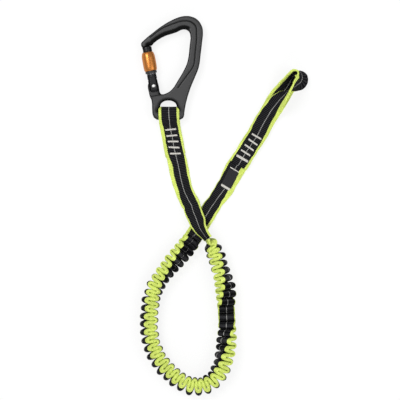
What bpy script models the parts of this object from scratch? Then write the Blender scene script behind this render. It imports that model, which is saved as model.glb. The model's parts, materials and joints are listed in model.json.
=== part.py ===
"""Elastic safety tether: a screw-lock carabiner, webbing gathered over an elastic core, and a soft loop.

Metres, +Z up. The tether lies on the plane z = 0 and the carabiner lies flat, with +Y from its eye
to its bow and +X from its gate to its spine. The origin is under the middle of the carabiner.
"""
import math

import bmesh
import bpy
import numpy as np
from mathutils import Matrix, Vector

MM = 0.001

# Clearances
FIT = 0.3 * MM                      # between touching pieces that stay separate
RUNNING = 0.3 * MM                  # round a pin or a slide, on the radius
POCKET_CLEARANCE = 0.4 * MM         # round the nose's T in the gate
NOSE_GAP = 0.6 * MM                 # between the gate's end and the nose
MARGIN = 2.0 * MM                   # by which a cutter reaches past what it cuts

# Carabiner body
CARABINER_LENGTH = 124.5 * MM
CARABINER_WIDTH = 74.2 * MM
BODY_THICKNESS = 12.5 * MM
BODY_EDGE = 2.4 * MM                # bevel of the forged body's edges
RIVET_FROM_LEFT = 15.1 * MM
RIVET_FROM_BOTTOM = 40.8 * MM
NOSE_FROM_LEFT = 6.4 * MM
NOSE_FROM_TOP = 36.2 * MM
NOSE_WIDTH = 10.4 * MM
CHANNEL_RADIUS = 1.7 * MM           # shallow channel forged along both faces
CHANNEL_DEPTH = 0.8 * MM
CHANNEL_STEP = 6.0 * MM             # between the points of the channel's middle line

# Eye at the lower end of the body
EYE_FROM_LEFT = 32.8 * MM
EYE_BAR_DIAMETER = 10.0 * MM
EYE_ARCH_HEIGHT = 13.2 * MM         # from the bar to the top of the eye
EYE_SIDE_CLEARANCE = 1.2 * MM       # beside the webbing
EYE_BAR_INSET = 0.2 * MM            # of the bar from the lower end of the body
EYE_BAR_ROOT = 1.5 * MM             # by which the bar runs into each leg
LEFT_LEG = 5.8 * MM
RIGHT_LEG = 5.6 * MM
FORK_ROOM = 12.2 * MM               # milled room below the rivet for the gate's fork
FORK_ROOM_WIDTH = 15.8 * MM
FORK_ROOM_SHIFT = 1.5 * MM          # of that room's middle to the outer side of the gate

# Gate, measured from its rivet along its own axis
GATE_DIAMETER = 11.4 * MM
GATE_CHAMFER = 0.8 * MM
CHEEK_THICKNESS = 2.4 * MM
FORK_DEPTH = 8.2 * MM
FLAT_END = 11.0 * MM
THREAD_START = 11.6 * MM
THREAD_PITCH = 1.2 * MM
THREAD_DEPTH = 0.45 * MM
THREAD_TURNS = 3
TANG_THICKNESS = 4.4 * MM
TANG_SEAT = 5.5 * MM                # flat that the plunger bears on
RIVET_DIAMETER = 3.8 * MM
RIVET_HEAD = 5.2 * MM
RIVET_HEAD_HEIGHT = 0.9 * MM
RIVET_HEAD_EDGE = 0.3 * MM          # height of the rim under the head's slope
T_HEAD = (3.4 * MM, 6.4 * MM)       # length and thickness of the nose's T
T_NECK = (2.7 * MM, 3.6 * MM)
T_INNER = 2.6 * MM                  # reach of the T past the gate's axis
T_TIP_SETBACK = 0.6 * MM            # from the gate's outside to the T's rounded side
T_ROOT = 1.0 * MM                   # by which the neck runs into the nose

# Plunger and spring in the gate
SPRING_BORE = 5.4 * MM
SPRING_BORE_END = 32.0 * MM
SPRING_WIRE = 0.8 * MM
SPRING_TURNS = 6
PLUNGER_ROD = 2.4 * MM
PLUNGER_COLLAR = 1.6 * MM
PLUNGER_LENGTH = 7.8 * MM
PLUNGER_CHAMFER = 0.3 * MM

# Lock sleeve, at rest half unscrewed
SLEEVE_WALL = 2.1 * MM
SLEEVE_LENGTH = 22.7 * MM
SLEEVE_FROM_GATE_END = 6.8 * MM
SLEEVE_END_WALL = 0.7 * MM
SLEEVE_SHOULDER = 5.2 * MM          # tapered upper end
SLEEVE_FOOT = 3.4 * MM              # tapered lower end
SLEEVE_GROOVE = 0.3 * MM
SLEEVE_GROOVE_HALF = 0.5 * MM       # half its width at the bottom
RING_WALL = 0.65 * MM
RING_LENGTH = 2.5 * MM
RING_CHAMFER = 0.5 * MM

# Webbing
WEB_WIDTH = 24.8 * MM
WEB_THICKNESS = 2.4 * MM
FLOOR_GAP = 0.2 * MM
TAIL_LENGTH = 54.0 * MM
LAYER = WEB_THICKNESS + FIT
STRAP_STEP = 3.2 * MM
STRAP_OFFSET = 0.3 * MM             # of the webbing from the middle of the eye
WRAP_STEPS = 14
SEAM_GAP = 0.9 * MM                 # between a strap's end and the gathered stretch

# Gathered stretch
FOLD_RADIUS = 11.0 * MM
VALLEY_RADIUS = 8.3 * MM
END_RADIUS = 5.5 * MM
FOLD_PITCH = 8.4 * MM
TAPER_LENGTH = 14.0 * MM
RISE_LENGTH = 18.0 * MM             # over which its ends come down to the straps
CORE_DIAMETER = 6.0 * MM

# Stitching and patch
TACK_COUNT = 5
FIRST_TACK = 16.6 * MM              # from the eye bar's axis
TACK_LENGTH = 13.0 * MM
TACK_BREADTH = 1.9 * MM
TACK_HEIGHT = 0.7 * MM
TACK_EDGE = 0.2 * MM
CARABINER_TACK_PITCH = 7.3 * MM
LOOP_TACK_PITCH = 7.8 * MM
LOOP_TACK_FROM_TAIL = 9.8 * MM
PATCH_WIDTH = 13.0 * MM
PATCH_LENGTH = 23.3 * MM
PATCH_HEIGHT = 0.6 * MM
PATCH_FROM_START = 104.8 * MM        # along the loop strap, from the gathered stretch

# Places that follow from the sizes above
LEFT = -CARABINER_WIDTH / 2
RIGHT = CARABINER_WIDTH / 2
TOP = CARABINER_LENGTH / 2
BOTTOM = -CARABINER_LENGTH / 2
SLEEVE_BORE = GATE_DIAMETER / 2 + RUNNING
SLEEVE_RADIUS = SLEEVE_BORE + SLEEVE_WALL
MID_Z = max(SLEEVE_RADIUS, EYE_BAR_DIAMETER / 2 + FIT + WEB_THICKNESS + FLOOR_GAP)
RIVET = Vector((LEFT + RIVET_FROM_LEFT, BOTTOM + RIVET_FROM_BOTTOM, MID_Z))
NOSE = Vector((LEFT + NOSE_FROM_LEFT, TOP - NOSE_FROM_TOP, MID_Z))
GATE_LEAN = math.atan2(RIVET.x - NOSE.x, NOSE.y - RIVET.y)
NOSE_FACE = (NOSE - RIVET).length
GATE_END = NOSE_FACE - NOSE_GAP
EYE_X = LEFT + EYE_FROM_LEFT
BAR_Y = BOTTOM + EYE_BAR_DIAMETER / 2 + EYE_BAR_INSET
EYE_BAR = Vector((EYE_X, BAR_Y, MID_Z))
EYE_HALF = WEB_WIDTH / 2 + EYE_SIDE_CLEARANCE
SLOT_HALF = TANG_THICKNESS / 2 + FIT
CHEEK_FACE = SLOT_HALF + CHEEK_THICKNESS
SLEEVE_TOP = GATE_END - SLEEVE_FROM_GATE_END
SLEEVE_BOTTOM = SLEEVE_TOP - SLEEVE_LENGTH
PLUNGER_TIP = TANG_SEAT + FIT
PLUNGER_TOP = PLUNGER_TIP + PLUNGER_LENGTH
WRAP_RADIUS = EYE_BAR_DIAMETER / 2 + FIT + WEB_THICKNESS / 2
ALONG_Y = Matrix.Rotation(-math.pi / 2, 4, "X")     # lays a shape made along +Z along +Y

# Routes of the webbing in millimetres from the eye bar: across, along, then the height in layers of
# webbing, and on the loop strap the roll of the tape in degrees
CARABINER_ROUTE = [
    (0.7, -13.8, 1.2), (1.6, -17.5, 1.02), (3.6, -24.5, 1.0), (6.4, -36.2, 1.0), (8.3, -47.0, 1.0),
    (10.7, -57.4, 0.8), (13.1, -68.4, 0.1), (15.8, -80.4, 0.0), (19.5, -91.2, 0.2), (23.5, -101.4, 0.9),
    (26.9, -112.8, 2.1), (30.2, -121.8, 2.8), (34.2, -131.2, 3.1), (39.9, -140.8, 3.1), (46.3, -148.6, 3.0)]
GATHERED_ROUTE = [
    (46.3, -148.6), (54.0, -159.4), (60.2, -176.0), (64.7, -193.6), (68.7, -212.4), (70.3, -233.0),
    (70.8, -259.6), (68.7, -281.5), (61.9, -303.8), (53.7, -315.6), (45.5, -321.6), (35.7, -324.4),
    (26.3, -323.6), (17.9, -320.2), (3.3, -309.2), (-9.5, -295.2), (-18.3, -277.6), (-22.5, -258.6),
    (-22.5, -238.9), (-20.3, -220.1), (-13.9, -201.6), (-5.3, -187.8), (4.9, -175.6), (15.7, -163.6),
    (23.7, -153.4)]
LOOP_ROUTE = [
    (23.7, -153.4, 1.6, 0), (30.3, -143.6, 1.35, 0), (35.7, -134.6, 1.0, 0), (41.7, -124.8, 0.6, 0),
    (49.3, -110.8, 0.1, 0), (55.6, -101.1, 0.0, 0), (62.9, -91.6, 0.0, 0), (71.6, -77.2, 0.0, 0),
    (78.6, -64.4, 0.0, 0), (86.7, -52.1, 0.0, 0), (94.7, -39.0, 0.0, 0), (102.3, -26.6, 0.0, 0),
    (110.3, -14.0, 0.0, 0), (118.7, -2.2, 0.0, 0), (126.7, 8.4, 0.0, 0), (133.4, 17.8, 0.0, 2),
    (138.8, 26.6, 0.0, 8), (142.2, 34.0, 0.0, 28), (144.8, 41.2, 0.0, 48), (147.4, 48.2, 0.0, 68),
    (151.4, 53.4, 0.0, 88), (156.6, 52.2, 0.0, 102), (160.1, 48.2, 0.0, 112), (161.2, 43.2, 0.0, 117),
    (159.9, 38.5, 0.2, 116), (156.1, 35.2, 0.6, 110), (151.6, 32.6, 1.3, 99), (147.0, 29.6, 2.1, 84),
    (142.4, 25.9, 2.5, 66), (136.8, 21.0, 2.2, 43), (130.3, 14.4, 1.6, 22),
    (123.5, 5.6, 1.1, 8), (116.4, -5.2, 1.0, 2), (109.4, -17.0, 1.0, 0), (104.5, -24.8, 1.0, 0),
    (96.6, -37.2, 1.0, 0), (88.5, -50.4, 1.0, 0), (83.0, -59.2, 1.0, 0)]

# Finishes: colour, roughness, metallic
FINISHES = {
    "body_grey": ((0.075, 0.075, 0.078, 1), 0.42, 0.85),
    "gate_black": ((0.02, 0.02, 0.022, 1), 0.38, 0.8),
    "sleeve_orange": ((0.62, 0.24, 0.06, 1), 0.3, 0.9),
    "steel": ((0.7, 0.7, 0.7, 1), 0.28, 1.0),
    "guide_ring": ((0.03, 0.028, 0.028, 1), 0.6, 0.0),
    "webbing": ((0.025, 0.027, 0.035, 1), 0.85, 0.0),
    "thread": ((0.75, 0.72, 0.64, 1), 0.8, 0.0),
    "elastic": ((0.8, 0.8, 0.74, 1), 0.75, 0.0),
}


def clear_scene():
    """Remove every object of the open scene."""
    for obj in list(bpy.data.objects):
        bpy.data.objects.remove(obj, do_unlink=True)


def new_collection(name):
    """A collection linked to the scene."""
    group = bpy.data.collections.new(name)
    bpy.context.scene.collection.children.link(group)
    return group


def finish_material(name):
    """A Principled material with one of the named finishes."""
    if name in bpy.data.materials:
        return bpy.data.materials[name]
    colour, roughness, metallic = FINISHES[name]
    mat = bpy.data.materials.new(name)
    mat.use_nodes = True
    shader = mat.node_tree.nodes["Principled BSDF"]
    shader.inputs["Base Color"].default_value = colour
    shader.inputs["Roughness"].default_value = roughness
    shader.inputs["Metallic"].default_value = metallic
    return mat


clear_scene()
PARTS = new_collection("safety_tether")
CUTTERS = new_collection("cutters")


def pivot(name, location, lean=0.0, parent=None):
    """An empty on a joint's axis, turned about +Z by lean."""
    empty = bpy.data.objects.new(name, None)
    PARTS.objects.link(empty)
    placed = Matrix.Translation(location) @ Matrix.Rotation(lean, 4, "Z")
    if parent is not None:
        empty.parent = parent
        placed = world_of(parent).inverted() @ placed
    empty.matrix_basis = placed
    return empty


def world_of(obj):
    """World matrix worked out from the parents, which needs no update of the scene."""
    if obj.parent is None:
        return obj.matrix_basis.copy()
    return world_of(obj.parent) @ obj.matrix_basis


def piece(name, mesh, finish, parent=None, local=None):
    """A visible sub-part, placed by its parent and its own local matrix."""
    obj = bpy.data.objects.new(name, mesh)
    PARTS.objects.link(obj)
    mesh.materials.append(finish_material(finish))
    if parent is not None:
        obj.parent = parent
    obj.matrix_basis = local if local is not None else Matrix.Identity(4)
    return obj


def cutter(name, mesh, parent=None, local=None):
    """A helper shape that only cuts, joins or limits another."""
    obj = bpy.data.objects.new(name, mesh)
    CUTTERS.objects.link(obj)
    if parent is not None:
        obj.parent = parent
    obj.matrix_basis = local if local is not None else Matrix.Identity(4)
    obj.hide_render = True
    obj.display_type = "WIRE"
    return obj


def combine(target, tool, operation):
    """Cut with, join or keep the overlap with a helper shape."""
    mod = target.modifiers.new(tool.name, "BOOLEAN")
    mod.operation = operation
    mod.solver = "EXACT"
    mod.object = tool


def round_edges(obj, width):
    """Bevel the sharp edges of a block."""
    mod = obj.modifiers.new("edges", "BEVEL")
    mod.width = width
    mod.segments = 1
    mod.limit_method = "ANGLE"


def smooth_shading(mesh, angle=35):
    """Round faces smooth, real edges sharp."""
    mesh.shade_smooth()
    mesh.set_sharp_from_angle(angle=math.radians(angle))


def mesh_of_curve(curve, name):
    """The evaluated curve as a mesh with its caps welded."""
    obj = bpy.data.objects.new(name, curve)
    bpy.context.scene.collection.objects.link(obj)
    graph = bpy.context.evaluated_depsgraph_get()
    mesh = bpy.data.meshes.new_from_object(obj.evaluated_get(graph))
    bpy.data.objects.remove(obj, do_unlink=True)
    mesh.name = name
    bm = bmesh.new()
    bm.from_mesh(mesh)
    bmesh.ops.remove_doubles(bm, verts=bm.verts, dist=0.00001)
    bmesh.ops.recalc_face_normals(bm, faces=bm.faces)
    bm.to_mesh(mesh)
    bm.free()
    return mesh


def plate_mesh(name, loops, thickness, resolution=4, edge=0.0):
    """A flat plate about z = 0 with rounded edges. Its outline runs one way round and its holes the other.

    A point is (x, y) on a smooth stretch or (x, y, 1) at a corner.
    """
    curve = bpy.data.curves.new(name, "CURVE")
    curve.dimensions = "2D"
    curve.fill_mode = "BOTH"
    curve.extrude = thickness / 2 - edge
    curve.bevel_depth = edge
    curve.offset = -edge
    curve.bevel_resolution = 1
    curve.resolution_u = resolution
    for points in loops:
        spline = curve.splines.new("BEZIER")
        spline.bezier_points.add(len(points) - 1)
        spline.use_cyclic_u = True
        for knot, point in zip(spline.bezier_points, points):
            knot.co = (point[0], point[1], 0)
            kind = "VECTOR" if len(point) > 2 else "AUTO"
            knot.handle_left_type = kind
            knot.handle_right_type = kind
    return mesh_of_curve(curve, name)


def box_mesh(name, size, centre=(0, 0, 0)):
    """A box of the given size about a centre."""
    bm = bmesh.new()
    bmesh.ops.create_cube(bm, size=1)
    bmesh.ops.scale(bm, vec=size, verts=bm.verts)
    bmesh.ops.translate(bm, vec=centre, verts=bm.verts)
    mesh = bpy.data.meshes.new(name)
    bm.to_mesh(mesh)
    bm.free()
    return mesh


def rod_mesh(name, radius, start, end, axis="Z", segments=32):
    """A cylinder along X, Y or Z from start to end."""
    bm = bmesh.new()
    bmesh.ops.create_cone(bm, cap_ends=True, segments=segments, radius1=radius, radius2=radius,
                          depth=end - start)
    bmesh.ops.translate(bm, vec=(0, 0, (start + end) / 2), verts=bm.verts)
    turn = {"X": Matrix.Rotation(math.pi / 2, 4, "Y"), "Y": ALONG_Y, "Z": Matrix.Identity(4)}[axis]
    bmesh.ops.transform(bm, matrix=turn, verts=bm.verts)
    mesh = bpy.data.meshes.new(name)
    bm.to_mesh(mesh)
    bm.free()
    smooth_shading(mesh)
    return mesh


def turned(obj, steps=32):
    """Turn a profile about Z with a Screw."""
    mod = obj.modifiers.new("turn", "SCREW")
    mod.angle = math.tau
    mod.steps = steps
    mod.render_steps = steps
    mod.use_merge_vertices = True
    mod.merge_threshold = 0.00002
    mod.use_smooth_shade = True


def profile_mesh(name, points, closed=False):
    """A profile at +X of (radius, height) points, down the outer side."""
    mesh = bpy.data.meshes.new(name)
    edges = [(i, i + 1) for i in range(len(points) - 1)]
    if closed:
        edges.append((len(points) - 1, 0))
    mesh.from_pydata([(radius, 0, height) for radius, height in points], edges, [])
    return mesh


def tube_curve(name, points, radii, bevel_resolution=2):
    """A poly tube of the given radii, with filled caps."""
    curve = bpy.data.curves.new(name, "CURVE")
    curve.dimensions = "3D"
    curve.bevel_depth = 1.0
    curve.bevel_resolution = bevel_resolution
    curve.use_fill_caps = True
    curve.render_resolution_u = 0
    spline = curve.splines.new("POLY")
    spline.points.add(len(points) - 1)
    for knot, point, radius in zip(spline.points, points, radii):
        knot.co = (*point, 1)
        knot.radius = radius
    return curve


def smooth_rows(rows, stations):
    """A cubic through the rows, read at distances along it; slopes come from the neighbours."""
    rows = np.array(rows, dtype=float)
    at = np.concatenate([[0], np.cumsum(np.linalg.norm(np.diff(rows[:, :3], axis=0), axis=1))])
    slope = np.gradient(rows, at, axis=0)
    where = np.asarray(stations, dtype=float) * at[-1]
    left = np.clip(np.searchsorted(at, where, side="right") - 1, 0, len(at) - 2)
    span = (at[left + 1] - at[left])[:, None]
    t = ((where - at[left])[:, None]) / span
    return ((2 * t ** 3 - 3 * t ** 2 + 1) * rows[left] + (t ** 3 - 2 * t ** 2 + t) * span * slope[left]
            + (3 * t ** 2 - 2 * t ** 3) * rows[left + 1] + (t ** 3 - t ** 2) * span * slope[left + 1])


def even_path(rows, step):
    """The cubic through the rows at an even step along its length."""
    fine = smooth_rows(rows, np.linspace(0, 1, 2000))
    along = np.concatenate([[0], np.cumsum(np.linalg.norm(np.diff(fine[:, :3], axis=0), axis=1))])
    count = max(2, round(along[-1] / step)) + 1
    even = np.linspace(0, along[-1], count)
    return np.stack([np.interp(even, along, column) for column in fine.T], axis=1)


def distances(points):
    """Distance along a path at each of its points."""
    return np.concatenate([[0], np.cumsum(np.linalg.norm(np.diff(points[:, :3], axis=0), axis=1))])


def read_at(points, distance):
    """The row of a path at a distance along it."""
    along = distances(points)
    return np.array([np.interp(distance, along, column) for column in points.T])


def floor_height(layers, roll):
    """Height of the tape's middle: on its layers, and up on its edge where it is rolled."""
    lift = WEB_WIDTH / 2 * abs(math.sin(roll)) + WEB_THICKNESS / 2 * abs(math.cos(roll))
    return FLOOR_GAP + lift + layers * LAYER


def world_rows(route):
    """A route's rows as x, y, z and roll in metres and radians."""
    rows = []
    for across, along, layers, *roll in route:
        angle = math.radians(roll[0]) if roll else 0.0
        rows.append((EYE_X + across * MM, BAR_Y + along * MM, floor_height(layers, angle), angle))
    return rows


def tape_frames(points, rolls):
    """Directions along, across and out of a tape. Across starts level and turns with the roll."""
    along = np.gradient(points, axis=0)
    along /= np.linalg.norm(along, axis=1)[:, None]
    across = []
    last = None
    for direction in along:
        level = np.cross((0, 0, 1), direction)
        if np.linalg.norm(level) < 0.02:
            level = last
        level = level / np.linalg.norm(level)
        if last is not None and np.dot(level, last) < 0:
            level = -level
        across.append(level)
        last = level
    across = np.array(across)
    out = np.cross(along, across)
    turned_across = np.cos(rolls)[:, None] * across + np.sin(rolls)[:, None] * out
    return along, turned_across, np.cross(along, turned_across)


def tape(name, rows, width, thickness, finish="webbing", columns=2):
    """A flat tape: a grid laid along the rows and given its thickness by Solidify."""
    points = rows[:, :3]
    _, across, _ = tape_frames(points, rows[:, 3])
    bm = bmesh.new()
    bmesh.ops.create_grid(bm, x_segments=len(rows) - 1, y_segments=columns, size=0.5)
    for vert in bm.verts:
        station = round((vert.co.x + 0.5) * (len(rows) - 1))
        vert.co = points[station] + across[station] * (vert.co.y * width)
    mesh = bpy.data.meshes.new(name)
    bm.to_mesh(mesh)
    bm.free()
    obj = piece(name, mesh, finish)
    mod = obj.modifiers.new("thickness", "SOLIDIFY")
    mod.thickness = thickness
    mod.offset = 0
    smooth_shading(mesh)
    return obj


def tape_place(rows, distance, lift):
    """Matrix on a tape: X across, Y along and Z out of it, raised by lift on the upper face."""
    reach = TACK_BREADTH / 2
    along = Vector(read_at(rows, distance + reach)[:3] - read_at(rows, distance - reach)[:3]).normalized()
    _, across, _ = tape_frames(rows[:, :3], rows[:, 3])
    index = int(np.argmin(np.abs(distances(rows) - distance)))
    up = Vector(across[index]).cross(along).normalized()
    if up.z < 0:
        up.negate()
    side = along.cross(up)
    centre = Vector(read_at(rows, distance)[:3]) + up * lift
    return Matrix.Translation(centre) @ Matrix((side, along, up)).transposed().to_4x4()


def tacks(prefix, rows, spots, length=TACK_LENGTH):
    """Bar tacks: short rounded bars of thread across a tape."""
    lift = WEB_THICKNESS / 2 + FIT + TACK_HEIGHT / 2
    for number, spot in enumerate(spots, start=1):
        mesh = box_mesh(prefix, (length, TACK_BREADTH, TACK_HEIGHT))
        obj = piece(f"{prefix}_{number}", mesh, "thread", local=tape_place(rows, spot, lift))
        round_edges(obj, TACK_EDGE)


def on_gate(across, along):
    """A point of the gate's frame as x and y of the body."""
    return (RIVET.x + across * math.cos(GATE_LEAN) - along * math.sin(GATE_LEAN),
            RIVET.y + across * math.sin(GATE_LEAN) + along * math.cos(GATE_LEAN))


def from_corner(side, end, points):
    """Points in millimetres inwards from one side and one end of the body."""
    sideways = 1 if side < 0 else -1
    lengthways = 1 if end < 0 else -1
    return [(side + sideways * x * MM, end + lengthways * y * MM) for x, y in points]


def body_outline():
    """The forged body: nose tip, bow, spine, legs, hinge ear and back along the inside."""
    half = NOSE_WIDTH / 2
    left = EYE_X - EYE_HALF
    right = EYE_X + EYE_HALF
    tip = [on_gate(half * 0.7, NOSE_FACE - half * 1.05), on_gate(0, NOSE_FACE - half * 1.35),
           on_gate(-half * 0.7, NOSE_FACE - half * 1.05), on_gate(-half, NOSE_FACE - half * 0.3)]
    bow = from_corner(LEFT, TOP, [(0.1, 33.2), (3.4, 29.2), (14.9, 19.6), (25.0, 12.0)])
    bow += from_corner(RIGHT, TOP, [(36.0, 4.4), (26.0, 0.7), (20.0, 0.0), (14.9, 0.5)])
    bow += from_corner(RIGHT, TOP, [(7.0, 4.0), (1.6, 11.4)])
    spine = from_corner(RIGHT, TOP, [(0.0, 17.4), (0.9, 31.0), (2.5, 44.2), (4.9, 61.2)])
    spine += from_corner(RIGHT, BOTTOM, [(9.5, 51.4), (14.9, 38.4)])
    right_leg = [(right + RIGHT_LEG + 2.0 * MM, BOTTOM + 20.6 * MM), (right + RIGHT_LEG, BAR_Y + 4.0 * MM),
                 (right + RIGHT_LEG * 0.9, BAR_Y - 0.6 * MM), (right + RIGHT_LEG * 0.5, BAR_Y - 3.9 * MM),
                 (right - 2.0 * MM, BOTTOM)]
    left_leg = [(left + 2.0 * MM, BOTTOM), (left - LEFT_LEG * 0.5, BAR_Y - 3.4 * MM),
                (left - LEFT_LEG * 0.9, BAR_Y + 1.0 * MM), (left - LEFT_LEG, BAR_Y + 6.0 * MM)]
    left_leg += from_corner(LEFT, BOTTOM, [(12.4, 24.0)])
    return [tip + bow + spine + right_leg + left_leg + ear_outline() + inner_outline(), eye_outline()]


def ear_outline():
    """The hinge ear round the rivet, with the flat that the plunger bears on."""
    points = [(-6.7, -12.5), (-7.0, -6.5), (-7.0, 0.6), (-5.4, 4.2)]
    seat = TANG_SEAT / MM
    points += [(-2.8, seat, 1), (2.4, seat, 1), (5.0, 4.2), (5.9, 1.0), (5.9, -5.0), (6.2, -9.8)]
    return [(*on_gate(point[0] * MM, point[1] * MM), *point[2:]) for point in points]


def inner_outline():
    """Inside of the body from the hinge ear round to the nose."""
    half = NOSE_WIDTH / 2
    points = from_corner(LEFT, BOTTOM, [(24.6, 30.7), (30.0, 31.8), (36.2, 35.6)])
    points += from_corner(RIGHT, BOTTOM, [(29.9, 47.4), (20.9, 63.3)])
    points += from_corner(RIGHT, TOP, [(18.4, 54.2), (16.0, 36.2), (15.4, 21.4)])
    points += from_corner(RIGHT, TOP, [(17.9, 17.3), (23.9, 15.8)])
    points += from_corner(LEFT, TOP, [(42.4, 19.2), (24.5, 25.7)])
    return points + [on_gate(half, NOSE_FACE - half * 0.3)]


def eye_outline():
    """The D-shaped hole above the eye bar."""
    rim = BAR_Y + EYE_BAR_DIAMETER / 2
    top = rim + EYE_ARCH_HEIGHT
    half = EYE_HALF * 0.99
    right = [(0, top), (half * 0.5, top - 1.8 * MM), (half - 1.9 * MM, rim + 5.3 * MM),
             (half, rim + 1.4 * MM), (half, rim - 1.4 * MM), (half - 2.6 * MM, rim - 4.5 * MM)]
    left = [(-x, y) for x, y in reversed(right[1:])]
    return [(EYE_X + x, y) for x, y in right + left]


def channel_path():
    """Middle line of the shallow channel from the nose along the bow to the lower spine."""
    return [
        (LEFT + 12.5 * MM, TOP - 24.5 * MM, 0), (LEFT + 25.0 * MM, TOP - 15.5 * MM, 0),
        (RIGHT - 34.5 * MM, TOP - 9.2 * MM, 0), (RIGHT - 25.0 * MM, TOP - 6.4 * MM, 0),
        (RIGHT - 15.5 * MM, TOP - 7.0 * MM, 0), (RIGHT - 9.0 * MM, TOP - 12.2 * MM, 0),
        (RIGHT - 7.8 * MM, TOP - 22.0 * MM, 0), (RIGHT - 9.4 * MM, TOP - 44.0 * MM, 0),
        (RIGHT - 11.6 * MM, TOP - 60.0 * MM, 0), (RIGHT - 20.0 * MM, BOTTOM + 52.0 * MM, 0),
        (RIGHT - 30.0 * MM, BOTTOM + 38.5 * MM, 0)]


def nose_t(swell, outer, name):
    """The T that locks nose and gate, in the gate's frame: head and neck, swollen by swell."""
    head_length, head_thickness = T_HEAD
    neck_length, neck_thickness = T_NECK
    inner = T_INNER + swell
    head_low = NOSE_FACE - neck_length - head_length - swell
    head_high = NOSE_FACE - neck_length + swell
    middle = (inner - outer) / 2
    head = box_mesh(name + "_head", (inner + outer, head_high - head_low, head_thickness + 2 * swell),
                    (middle, (head_low + head_high) / 2, 0))
    neck_high = NOSE_FACE + T_ROOT
    neck = box_mesh(name + "_neck", (inner + outer, neck_high - head_low, neck_thickness + 2 * swell),
                    (middle, (head_low + neck_high) / 2, 0))
    return head, neck


def body_cuts(swing, gate, to_swing):
    """Cutters of the body: face channels, window under the eye, nose face, fork room and rivet hole."""
    tools = []
    for side in (1, -1):
        path = even_path(channel_path(), CHANNEL_STEP)
        path[:, 2] = side * (BODY_THICKNESS / 2 + CHANNEL_RADIUS - CHANNEL_DEPTH)
        curve = tube_curve("channel", path, [CHANNEL_RADIUS] * len(path), 1)
        tools.append(cutter(f"channel_{side}", mesh_of_curve(curve, "channel"), swing, to_swing))
    depth = 2 * BODY_THICKNESS
    low = BOTTOM - BODY_THICKNESS - BAR_Y
    high = EYE_BAR_DIAMETER / 2 + 2 * FIT
    window = box_mesh("eye_window", (2 * EYE_HALF, high - low, depth), (0, (high + low) / 2, 0))
    tools.append(cutter("eye_window", window, swing))
    face = box_mesh("nose_face", (3 * NOSE_WIDTH, NOSE_WIDTH, depth), (0, NOSE_FACE - NOSE_WIDTH / 2, 0))
    tools.append(cutter("nose_face", face, gate))
    room = box_mesh("fork_room", (FORK_ROOM_WIDTH, 3 * FORK_ROOM, depth), (0, 0, depth / 2))
    for side in (1, -1):
        place = Matrix.Translation((-FORK_ROOM_SHIFT, FORK_ROOM / 2, side * TANG_THICKNESS / 2))
        turn = Matrix.Rotation(0 if side > 0 else math.pi, 4, "Y")
        tools.append(cutter(f"fork_room_{side}", room, gate, place @ turn))
    hole = rod_mesh("tongue_hole", RIVET_DIAMETER / 2 + RUNNING, -depth / 2, depth / 2, segments=24)
    tools.append(cutter("tongue_hole", hole, gate))
    return tools


def make_body(swing, gate):
    """Forged body with eye bar, hinge tongue, nose T and the channels on its faces."""
    to_swing = world_of(swing).inverted() @ Matrix.Translation((0, 0, MID_Z))
    plate = plate_mesh("carabiner_body", body_outline(), BODY_THICKNESS, 3, BODY_EDGE)
    body = piece("carabiner_body", plate, "body_grey", swing, to_swing)
    for tool in body_cuts(swing, gate, to_swing):
        combine(body, tool, "DIFFERENCE")
    reach = EYE_HALF + EYE_BAR_ROOT
    bar = cutter("eye_bar", rod_mesh("eye_bar", EYE_BAR_DIAMETER / 2, -reach, reach, "X"), swing)
    combine(body, bar, "UNION")
    head, neck = nose_t(0, GATE_DIAMETER / 2, "nose_t")
    head_tool = cutter("nose_t", head, gate)
    combine(head_tool, cutter("nose_t_neck", neck, gate), "UNION")
    tip = GATE_DIAMETER / 2 - T_TIP_SETBACK
    limit = rod_mesh("nose_t_limit", tip, FORK_DEPTH, NOSE_FACE + MARGIN, "Y")
    combine(head_tool, cutter("nose_t_limit", limit, gate), "INTERSECT")
    combine(body, head_tool, "UNION")


def gate_profile():
    """Turned outside of the gate, from its end down past the thread to the fork."""
    radius = GATE_DIAMETER / 2
    points = [(0, GATE_END), (radius - GATE_CHAMFER, GATE_END), (radius, GATE_END - GATE_CHAMFER)]
    top = THREAD_START + THREAD_TURNS * THREAD_PITCH
    for turn in range(THREAD_TURNS):
        crest = top - turn * THREAD_PITCH
        points.append((radius, crest))
        points.append((radius - THREAD_DEPTH, crest - THREAD_PITCH / 2))
    points.append((radius, THREAD_START))
    points.append((radius, -radius))
    points.append((0, -radius))
    return points


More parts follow.
